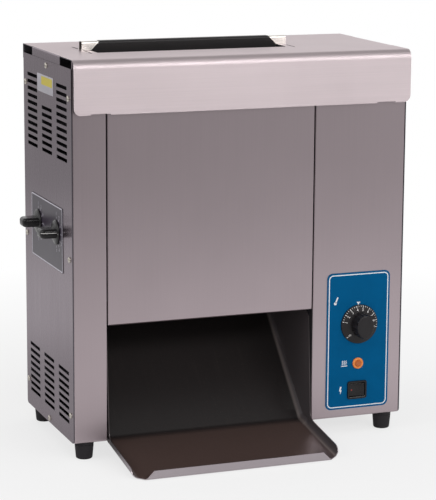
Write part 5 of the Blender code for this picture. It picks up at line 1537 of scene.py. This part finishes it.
@dataclass(frozen=True)
class ControlOverlay:
    """Blue printed film on the control housing, with its lines and plain picture signs."""

    span: Pair = (404.0, 509.0)
    rise: Pair = (13.5, 228.5)
    corner: float = 9.0
    line_inset: float = 3.5
    line_corner: float = 6.5
    line_width: float = 1.5

    def centre(self) -> Triple:
        """Middle of the film on the front face."""
        return (sum(self.span) / 2, 0.0, sum(self.rise) / 2)

    def at(self, x: float, z: float) -> Array:
        """Drawing point of a place on the front."""
        middle = self.centre()
        return np.array((x - middle[0], z - middle[2]))

    def film(self) -> None:
        """The film itself, with hidden openings under the dial, lamp and switch."""
        rounds = all_corners(self.span, self.rise, self.corner)
        blank = Blank(self.span, self.rise, openings_at(CONTROL_HOLES), rounds, 6)
        patch = blank.patch(upright(1, -FILM_FRONT))
        Piece("control_overlay_film", BLUE_FILM, [patch], ("control_overlay",), FILM).build()

    def thermometer(self) -> list[Patch]:
        """Slanted tube with a filled bulb."""
        tube = np.array(((-1.8, -3.6), (1.9, 5.0)))
        shift = self.at(420.0, 186.0)
        return [stroke(tube + shift, 2.2), filled(circle(np.array((-2.2, -4.6)) + shift, 2.3))]

    def heat(self) -> list[Patch]:
        """Three waves u = sin v over a flat line."""
        shift = self.at(434.6, 86.0)
        v = np.linspace(-2.2, 4.2, 17)
        wave = 0.8 * np.sin(v * 1.7)
        lines = [np.stack((wave + du, v), axis=-1) for du in (-3.0, 0.0, 3.0)]
        base = np.array(((-5.0, -4.2), (5.0, -4.2)))
        return [stroke(line + shift, 0.9) for line in lines] + [stroke(base + shift, 1.2)]

    def bolt(self) -> list[Patch]:
        """Lightning stroke."""
        points = (
            (-0.6, -6.2), (1.9, 0.7), (0.1, 0.7), (1.8, 6.2), (-0.9, 6.2), (-2.4, -0.9),
            (-0.5, -0.9),
        )
        return [filled(np.array(points) + self.at(429.0, 43.0))]

    def build(self) -> None:
        """Film and its white print."""
        self.film()
        width, height = [high - low - 2 * self.line_inset for low, high in (self.span, self.rise)]
        border = rounded_rectangle(width, height, self.line_corner, 8)
        pointer = np.array(((-3.1, 2.4), (0.0, -2.2), (3.1, 2.4))) + self.at(456.5, 179.2)
        flat = [stroke(border, self.line_width, True), filled(pointer)]
        flat += self.thermometer() + self.heat() + self.bolt()
        patch = drawn(flat, Facing.FRONT, self.centre(), FILM_FRONT + INK)
        Piece("control_overlay_print", WHITE_INK, [patch], thickness=INK * 2).build()


@dataclass(frozen=True)
class Dial:
    """Thermostat knob: sloping skirt with figures and a fluted oval grip.

    Each ring of the grip has its height over the skirt's underside, how far the oval draws in
    there, and the share of the flutes' depth.
    """

    radius: float = 30.5
    skirt: float = 5.0
    shoulder: float = 19.5
    edge: float = 2.2
    edge_inset: float = 1.1
    half_width: float = 15.0
    half_length: float = 19.2
    flute: float = 1.5
    flutes: int = 14
    rings: tuple[Triple, ...] = (
        (2.0, -0.6, 1.0), (6.0, -0.6, 1.0), (18.0, 0.0, 1.0), (22.0, 0.2, 0.9), (23.6, 0.4, 0.7),
        (24.6, 0.8, 0.35), (25.2, 1.5, 0.1), (25.5, 2.5, 0.0), (25.7, 5.0, 0.0), (25.9, 9.0, 0.0),
        (26.0, 15.0, 0.0),
    )
    start: float = -79.5
    end: float = 102.0
    figures: int = 9
    off: float = -134.0
    fine_tick: Pair = (27.4, 29.2)
    tick: Pair = (26.6, 29.3)
    figure_radius: float = 23.4
    figure_height: float = 4.4

    def slope(self, flat: Array) -> Array:
        """Height of the skirt's face: it falls evenly from the shoulder to the rim."""
        run = self.radius - self.edge_inset - self.shoulder
        share = (np.linalg.norm(flat, axis=-1) - self.shoulder) / run
        return KNOB_BACK + self.skirt - np.clip(share, 0, 1) * (self.skirt - self.edge)

    def skirt_patch(self) -> Patch:
        """Skirt from under its rim over the sloping face to its middle."""
        b, r = KNOB_BACK, self.radius
        profile = (
            (0, b), (r - 0.6, b), (r, b + 0.5), (r, b + 1.3), (r - 0.3, b + 1.9),
            (r - self.edge_inset, b + self.edge), (self.shoulder, b + self.skirt),
            (0, b + self.skirt),
        )
        return turned(profile, Facing.FRONT, DIAL, 96)

    def grip_patch(self) -> Patch:
        """Grip: an oval (a cos t, b sin t) with flutes d |sin(n t / 2)| that fade out upwards.

        Near the top the oval draws in on a quarter ellipse, and the face is a shallow dome.
        """
        steps = self.flutes * 12
        t = np.arange(steps) * 2 * np.pi / steps
        height, inwards, fade = np.array(self.rings).T[..., None]
        flute = self.flute * np.abs(np.sin(self.flutes * t / 2)) * fade
        wide = np.clip(self.half_width - inwards - flute, 0, None)
        tall = self.half_length - inwards * self.half_length / self.half_width - flute
        flat = np.stack((wide, np.clip(tall, 0, None)), axis=-1) * around(steps)
        return lofted(Facing.FRONT.place(flat, height + KNOB_BACK, DIAL), False)

    def print_patch(self) -> Patch:
        """Ticks and figures round the skirt, clockwise from low to high, and 0 on its own."""
        turns = np.radians((self.off, *np.linspace(self.start, self.end, self.figures)))
        fine = np.radians(np.linspace(self.start, self.end, (self.figures - 1) * 3 + 1))
        ways = np.stack((np.sin(fine), np.cos(fine)), axis=-1)
        flat = [radial(way, self.fine_tick, 0.6) for way in ways]
        for value, turn in enumerate(turns):
            way = np.array((math.sin(turn), math.cos(turn)))
            flat.append(radial(way, self.tick, 1.0))
            flat.append(numeral(str(value), self.figure_height, way * self.figure_radius, -turn))
        return drawn(flat, Facing.FRONT, DIAL, lambda plane: self.slope(plane) + INK)

    def build(self) -> None:
        """Knob and its figures."""
        knob, figures = [self.skirt_patch(), self.grip_patch()], [self.print_patch()]
        name, nodes = "thermostat_dial", ("thermostat_knob",)
        Piece(name + "_knob", BLACK_ABS, knob, nodes, sharp=40, body=name).build()
        Piece(name + "_figures", KNOB_INK, figures, thickness=INK, body=name).build()


@dataclass(frozen=True)
class Lamp:
    """Heater lamp: amber flange with a deep amber faceted lens in its middle.

    Each ring of the lens has its radius, its height and its turn in facets.
    """

    radius: float = 8.75
    body: float = 6.6
    body_depth: float = 24.0
    facets: int = 10
    crown: tuple[Triple, ...] = (
        (5.4, 3.3, 0.0), (4.2, 4.6, 0.5), (2.2, 5.0, 0.0), (0.0, 5.1, 0.5),
    )

    def lens(self) -> Patch:
        """Faceted crown: rings of few points, each turned half a facet from the last."""
        rings = [
            Facing.FRONT.place(radius * around(self.facets, shift), height, LAMP)
            for radius, height, shift in self.crown
        ]
        return lofted(np.stack(rings), False)

    def build(self) -> None:
        """Flange with a rounded rim and a sunk ring, body behind, and the lens."""
        r, back = self.radius, -self.body_depth
        profile = (
            (0, back), (self.body, back), (self.body, 1.1), (r - 0.3, 1.1), (r, 1.5), (r, 2.6),
            (r - 0.5, 3.4), (r - 1.4, 3.9), (6.4, 3.9), (5.9, 3.5), (5.6, 2.8), (0, 2.8),
        )
        flange = turned(profile, Facing.FRONT, LAMP)
        Piece("heater_lamp_flange", AMBER_LENS, [flange], ("heater_lamp",)).build()
        Piece("heater_lamp_lens", DARK_LENS, [self.lens()], sharp=5).build()


@dataclass(frozen=True)
class RockerSwitch:
    """Rocker switch: housing with a soft-edged bezel and a hollowed rocker.

    Each ring of the housing has its width, height, corner radius and level.
    """

    rings: tuple[Four, ...] = (
        (29.0, 25.0, 1.0, -22.0), (29.0, 25.0, 1.0, 1.1), (31.9, 27.9, 3.4, 1.1),
        (32.5, 28.5, 3.6, 1.5), (32.5, 28.5, 3.6, 2.3), (31.9, 27.9, 3.3, 3.2),
        (30.9, 26.9, 2.8, 3.6), (28.4, 23.4, 1.8, 3.5), (26.8, 21.6, 1.2, 2.9),
        (26.4, 21.2, 1.0, 2.0), (26.4, 21.2, 1.0, -13.9),
    )
    pivot: Triple = (SWITCH[0], 4.0, SWITCH[2])
    tilt: float = 7.0
    half: float = 12.0
    half_height: float = 10.0
    peak: float = 7.8
    back: tuple[Pair, ...] = ((12.0, 0.0), (6.0, 6.0), (-6.0, 6.0), (-12.0, 0.0))
    soft: float = 0.7
    dot: Triple = (-8.6, 1.3, 7.18)

    def housing(self) -> Patch:
        """Rounded rectangles: body's back, up to the bezel, over it and down the window."""
        rings = [
            Facing.FRONT.place(rounded_rectangle(width, height, radius), level, SWITCH)
            for width, height, radius, level in self.rings
        ]
        return lofted(np.stack(rings))

    def rocker(self) -> Patch:
        """Side view drawn out up and down, with a hollow face y = v + (f - v) (x / w)^2."""
        x = np.linspace(-self.half, self.half, 25)
        valley = self.peak - self.half * math.tan(math.radians(self.tilt))
        face = valley + (self.peak - valley) * (x / self.half) ** 2
        outline = np.concatenate((np.stack((x, -face), axis=-1), np.array(self.back)))
        levels = both_soft(self.half_height, self.soft, 3)
        return prism(outline, levels, Facing.TOP, self.pivot)

    def build(self) -> None:
        """Housing, rocker and the rocker's red dot."""
        Piece("rocker_housing", GLOSS_ABS, [self.housing()], ("switch_housing",)).build()
        turned_on = {"turn": hinge_turn(self.pivot, "Z", -self.tilt), "body": "power_rocker"}
        Piece("rocker_paddle", GLOSS_ABS, [self.rocker()], ("switch_rocker",), **turned_on).build()
        place, radius, height = self.dot
        dot = drawn([filled(circle((place, 0.0), radius))], Facing.FRONT, self.pivot, height)
        Piece("rocker_dot", RED_PAINT, [dot], thickness=0.2, **turned_on).build()


@dataclass(frozen=True)
class Adjusters:
    """Two adjuster knobs on the left cover, and the printed film behind them."""

    skirt_radius: float = 18.5
    reach: float = 27.0
    length: float = 31.0
    taper: float = 2.0
    shoulder: float = 8.0
    thick: float = 14.0
    soft: float = 4.6
    line_foot: float = 3.0
    line_edges: Pair = (-0.4, 0.4)
    line_up: float = 1.6
    mark: Pair = (16.0, 17.9)
    span: Pair = (46.0, 210.0)
    rise: Pair = (248.0, 345.0)
    corner: float = 2.0
    border_inset: float = 1.5
    tick: Pair = (20.2, 23.4)
    figures: int = 7
    figure_radius: float = 27.8
    figure_height: float = 5.0

    def bar(self, centre: Place) -> Patch:
        """Grip bar: its side view has two round shoulders, and its edges are rounded all round."""
        half, top = self.length / 2, self.length / 2 - self.taper
        corners = ((half, 0.2), (top, self.reach), (-top, self.reach), (-half, 0.2))
        line = Fold(corners, (0.0, self.shoulder, self.shoulder, 0.0), 10).line()
        outline = np.stack((-line[:, 1], line[:, 0]), axis=-1)
        return prism(outline, both_soft(self.thick / 2, self.soft, 7), Facing.TOP, centre)

    def knob(self, name: str, depth: float, side: int) -> None:
        """One knob with its white line, on its front edge at side -1 and on its rear one at 1."""
        centre = (-KNOB_BACK, depth, ADJUSTER_HEIGHT)
        r = self.skirt_radius
        profile = (
            (0, 0), (r - 0.4, 0), (r, 0.4), (r, 1.2), (r - 0.6, 2.0), (r - 2.4, 3.2), (11.5, 3.9),
            (11.0, 4.0), (0, 4.0),
        )
        body = name + "_adjuster"
        patches = [turned(profile, Facing.LEFT, centre, 64), self.bar(centre)]
        Piece(name + "_knob_moulded", GLOSS_ABS, patches, (name + "_knob",), body=body).build()
        half = self.length / 2
        corners = ((half, self.line_foot), (half - self.taper, self.reach), (0.0, self.reach))
        line = Fold(corners, (0.0, self.shoulder, 0.0), 10).line()[:9]
        flat = np.stack((-line[:, 1], side * (line[:, 0] + INK)), axis=-1)
        rows = [np.insert(flat, 2, self.line_up + edge, axis=-1) for edge in self.line_edges]
        stripe = grid(np.stack(rows) + np.array(centre))
        mark = radial(np.array((-side, 0)), self.mark, 1.4)
        marks = [stripe, drawn([mark], Facing.LEFT, centre, 2.6)]
        Piece(name + "_knob_line", KNOB_INK, marks, thickness=0.3, body=body).build()

    def film(self) -> None:
        """Grey film with hidden openings under the knobs."""
        rounds = all_corners(self.span, self.rise, self.corner)
        blank = Blank(self.span, self.rise, openings_at(ADJUSTER_HOLES), rounds)
        patch = blank.patch(upright(0, -FILM_FRONT)).flipped()
        Piece("adjuster_overlay_film", GREY_FILM, [patch], ("adjuster_overlay",), FILM).build()

    def print_patch(self) -> Patch:
        """Border line, and ticks with plain numbers round each knob."""
        middle = (0.0, sum(self.span) / 2, sum(self.rise) / 2)
        width, height = [high - low - 2 * self.border_inset for low, high in (self.span, self.rise)]
        flat = [stroke(rounded_rectangle(width, height, self.corner, 4), 1.8, True)]
        for depth in ADJUSTER_DEPTHS:
            spot = np.array((middle[1] - depth, ADJUSTER_HEIGHT - middle[2]))
            for value, degrees in enumerate(np.linspace(90, -90, self.figures), start=1):
                angle = math.radians(degrees)
                way = np.array((math.cos(angle), math.sin(angle)))
                place = spot + way * self.figure_radius
                flat.append(radial(way, self.tick, 1.2, spot))
                flat.append(numeral(str(value), self.figure_height, place))
        return drawn(flat, Facing.LEFT, middle, FILM_FRONT + INK)

    def build(self) -> None:
        """Both knobs, the film and its print."""
        for name, depth, side in zip(("crown", "heel"), ADJUSTER_DEPTHS, (-1, 1)):
            self.knob(name, depth, side)
        self.film()
        Piece("adjuster_overlay_print", PALE_INK, [self.print_patch()], thickness=INK * 2).build()


@dataclass(frozen=True)
class Base:
    """Rubber feet with their screws, and the cord inlet's gland.

    The profiles are radii and heights, a foot's from the ground up and the gland's outwards from
    the rear cover.
    """

    inset: float = 21.5
    front: float = 18.0
    ground: float = -27.0
    screw_height: float = -20.1
    foot_radius: float = 12.5
    foot_round: float = 2.5
    foot_side: tuple[Pair, ...] = (
        (0, 26.7), (14.0, 26.7), (14.5, 26.2), (14.35, 23.2), (13.7, 22.6), (13.6, 21.6),
        (14.2, 21.0), (12.7, 4.2),
    )
    foot_hollow: tuple[Pair, ...] = ((5.5, 0.0), (5.0, 0.5), (5.0, 7.0), (0, 7.0))
    inlet_place: Triple = (500.0, DEPTH, 38.0)
    inlet_profile: tuple[Pair, ...] = (
        (4.0, -6.0), (8.0, -6.0), (8.0, 0.3), (10.7, 0.3), (11.0, 0.6), (11.0, 2.6), (10.5, 3.0),
        (8.2, 3.3), (8.0, 4.4), (7.6, 4.8), (7.9, 5.4), (7.7, 6.6), (7.3, 7.0), (7.6, 7.6),
        (7.4, 8.8), (7.0, 9.2), (7.3, 9.8), (7.1, 11.2), (6.4, 12.0), (4.6, 12.0), (4.0, 11.2),
        (4.0, -6.0),
    )

    def foot(self, name: str, x: float, y: float) -> None:
        """Tapered foot with a groove under its top, a rounded edge and a sunk screw below."""
        flat, r = self.foot_radius - self.foot_round, self.foot_round
        turns = np.linspace(0, np.pi / 2, 6)
        edge = tuple((flat + r * math.cos(a), r - r * math.sin(a)) for a in turns)
        profile = self.foot_side + edge + self.foot_hollow
        rubber = turned(profile, Facing.TOP, (x, y, self.ground))
        Piece(name + "_rubber", FOOT_RUBBER, [rubber], (name,)).build()
        head = Screw(3.8).patch(Facing.UNDER, (x, y, self.screw_height), 0.4)
        Piece(name + "_screw", SCREW_STEEL, [head]).build()

    def build(self) -> None:
        """Feet and inlet."""
        for row, y in (("front", self.front), ("rear", DEPTH - self.front)):
            for column, x in (("left", self.inset), ("right", WIDTH - self.inset)):
                self.foot("foot_" + row + "_" + column, x, y)
        gland = turned(self.inlet_profile, Facing.REAR, self.inlet_place)
        Piece("cord_inlet_gland", BLACK_ABS, [gland], ("cord_inlet",)).build()


@dataclass(frozen=True)
class CarriedPieces:
    """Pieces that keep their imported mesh, by the finish that they get."""

    finishes: tuple[tuple[Finish, tuple[str, ...]], ...] = (
        # The inner steel and the bulkhead steel are darkened as painted shade.
        (INNER_STEEL_PAINTED_SHADE, ("base_pan", "crown_conveyor_frame", "heel_conveyor_frame")),
        (BULKHEAD_STEEL_PAINTED_SHADE, ("left_bulkhead", "right_bulkhead")),
        (CAP_STEEL, ("divider_cap",)),
        (CAST_ALUMINIUM, ("platen",)),
        (RELEASE_FILM, ("release_sheet",)),
        (TURNED_ALUMINIUM, ("crown_idler_roller", "heel_idler_roller")),
        (TURNED_ALUMINIUM, ("crown_drive_roller", "heel_drive_roller")),
        (SINTERED_BRONZE, ("crown_left_bush", "crown_right_bush")),
        (SINTERED_BRONZE, ("heel_left_bush", "heel_right_bush")),
        (ZINC_STEEL, ("crown_gear", "heel_gear", "crown_sprocket", "motor_sprocket")),
        (ZINC_STEEL, ("drive_chain", "motor_bracket", "crown_cam", "heel_cam")),
        (ZINC_STEEL, ("crown_follower", "heel_follower", "adjuster_bracket")),
        (MOTOR_ENAMEL, ("gearmotor",)),
        (GREY_NYLON, ("thermostat_body", "terminal_block")),
        (TERMINAL_CERAMIC, ("heater_terminals", "high_limit")),
        (FAN_PBT, ("fan_frame", "fan_rotor")),
    )

    def build(self) -> None:
        """Gives each node its finish."""
        for finish, names in self.finishes:
            for name in names:
                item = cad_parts[name]
                if item.material_slots:
                    item.material_slots[0].material = finish.material()
                else:
                    item.data.materials.append(finish.material())
                LOG.info("%s: packed mesh, %s", name, finish.name)


@dataclass(frozen=True)
class Studio:
    """Pale floor, soft lamps and the camera. Its lengths are in metres in the row's frame.

    Each lamp has its name, place, aim, width and height, and power.
    """

    eye: Triple = (-1.09735, -2.87940, 0.91030)
    right: Triple = (0.93467, -0.35547, 0.00588)
    up: Triple = (0.06478, 0.18656, 0.98031)
    forward: Triple = (0.34956, 0.91588, -0.19740)
    lens: float = 148.65
    floor_half: float = 40.0
    floor_drop: float = 0.0002
    daylight: float = 0.58
    ceiling: float = 0.35
    lamps: tuple[tuple[str, Place, Place, Place, float], ...] = (
        ("front", (0.7, -3.1, 1.75), (0.0, 0.0, 0.4), (3.8, 0.6), 46.0),
        ("side", (-3.0, -0.6, 2.0), (0.0, 0.0, 0.3), (1.6, 1.2), 14.0),
    )

    def camera(self) -> None:
        """Camera at the photograph's viewing angle."""
        data = bpy.data.cameras.new("camera")
        data.lens = self.lens
        data.sensor_width = 36.0
        data.sensor_fit = "AUTO"
        data.clip_end = 100.0
        item = placed("camera", data)
        back = [-value for value in self.forward]
        rows = list(zip(self.right, self.up, back, self.eye))
        item.matrix_world = Matrix(rows + [(0.0, 0.0, 0.0, 1.0)])
        bpy.context.scene.camera = item

    def floor(self) -> None:
        """Pale floor that keeps the shadow and turns white to the camera away from the object.

        In mirror rays it is dimmer far off, on its left part, in the object's own shade and
        beside it.
        """
        material = bpy.data.materials.new("floor_matt_paper")
        material.use_nodes = True
        tree = material.node_tree
        shader = tree.nodes["Principled BSDF"]
        fill(tree, shader, {"Base Color": linear("#ececec"), "Roughness": 0.9})
        rays = add(tree, "LightPath").node.outputs
        place = add(tree, "TexCoord").node.outputs["Object"]
        away = add(tree, "VectorMath", place, operation="LENGTH").node.outputs["Value"]
        x, y = add(tree, "SeparateXYZ", place).node.outputs[:2]
        clear, far, close, near, left, ahead, beside = [
            add(tree, "MapRange", *values) for values in (
                (away, 0.4, 1.3, 0.72, 1.0), (away, 0.9, 2.5, 0.0, 0.5),
                (away, 0.1, 0.9, 0.55, 0.0), (away, 0.7, 1.3, 1.0, 0.0),
                (x, -0.2, 1.6, 0.4, 0.0), (y, -0.5, 0.3, 1.0, 0.0), (y, 0.15, 0.45, 0.0, 0.17),
            )
        ]
        aside = add(tree, "Math", left, ahead, operation="MULTIPLY")
        most = add(tree, "Math", aside, close, operation="MAXIMUM")
        hazy = add(tree, "Math", beside, near, operation="MULTIPLY")
        most = add(tree, "Math", most, hazy, operation="ADD")
        dim = add(tree, "Math", far, most, operation="ADD")
        direct = rays["Is Camera Ray"]
        for kind in ("Is Glossy Ray", "Is Transmission Ray"):
            direct = add(tree, "Math", direct, rays[kind], operation="MAXIMUM")
        share = add(tree, "Math", direct, clear, operation="MULTIPLY")
        lost = add(tree, "Math", rays["Is Glossy Ray"], dim, operation="MULTIPLY")
        strength = add(tree, "Math", 1.0, lost, operation="SUBTRACT")
        white = add(tree, "Emission", WHITE, strength)
        mix = add(tree, "MixShader", share, shader.outputs[0], white)
        fill(tree, tree.nodes["Material Output"], {"Surface": mix})
        corners = np.roll(CORNERS, 2, axis=0) * self.floor_half
        mesh = bpy.data.meshes.new("floor")
        points = np.insert(corners, 2, -self.floor_drop, axis=-1)
        mesh.from_pydata(points.tolist(), [], [[0, 1, 2, 3]])
        mesh.materials.append(material)
        item = placed("floor", mesh)

    def world(self) -> None:
        """Even soft light. Camera and glass rays see it white; mirror rays see a white wall behind.

        In mirror rays the white wall reaches up to a height of about 40 degrees behind the object,
        and the ceiling and the room in front of it are dimmer.
        """
        world = bpy.data.worlds.new("studio")
        world.use_nodes = True
        tree = world.node_tree
        light = tree.nodes["Background"]
        fill(tree, light, {"Color": WHITE, "Strength": self.daylight})
        way = add(tree, "SeparateXYZ", add(tree, "TexCoord").node.outputs["Generated"]).node.outputs
        behind = add(tree, "MapRange", way["Y"], -0.3, 0.2, 0.0, 1.0)
        low = add(tree, "MapRange", way["Z"], 0.5, 0.8, 1.0, 0.0)
        wall = add(tree, "Math", behind, low, operation="MULTIPLY")
        room = add(tree, "MapRange", wall, 0.0, 1.0, self.ceiling, 1.0)
        rays = add(tree, "LightPath").node.outputs
        sight = rays["Is Camera Ray"], rays["Is Transmission Ray"]
        plain = add(tree, "Math", *sight, operation="MAXIMUM")
        mirror = add(tree, "Background", WHITE, room)
        first = add(tree, "MixShader", rays["Is Glossy Ray"], light.outputs[0], mirror)
        mix = add(tree, "MixShader", plain, first, add(tree, "Background", WHITE, 1.0))
        fill(tree, tree.nodes["World Output"], {"Surface": mix})
        bpy.context.scene.world = world

    def lamp(self, name: str, place: Place, aim: Place, size: Place, power: float) -> None:
        """Soft lamp of a width and a height that faces a point."""
        data = bpy.data.lights.new(name, "AREA")
        data.shape = "RECTANGLE"
        data.size, data.size_y = size
        data.energy = power
        turn = (Vector(aim) - Vector(place)).to_track_quat("-Z", "Y").to_matrix().to_4x4()
        placed(name, data).matrix_world = Matrix.Translation(place) @ turn

    def build(self) -> None:
        """Camera, floor, world and lamps."""
        self.camera()
        self.floor()
        self.world()
        for lamp in self.lamps:
            self.lamp(*lamp)
        bpy.context.scene.view_settings.view_transform = "Standard"


def main() -> None:
    """Builds the sub-assemblies in order."""
    logging.basicConfig(level=logging.INFO, format="%(message)s")
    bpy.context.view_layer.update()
    for kind in (
        Studio, CarriedPieces, Hood, FrontPanels, SideCovers, LabelPlate, RearCover, Chute,
        Conveyors, ControlOverlay, Dial, Lamp, RockerSwitch, Adjusters, Base,
    ):
        kind().build()


if __name__ == "__main__":
    main()
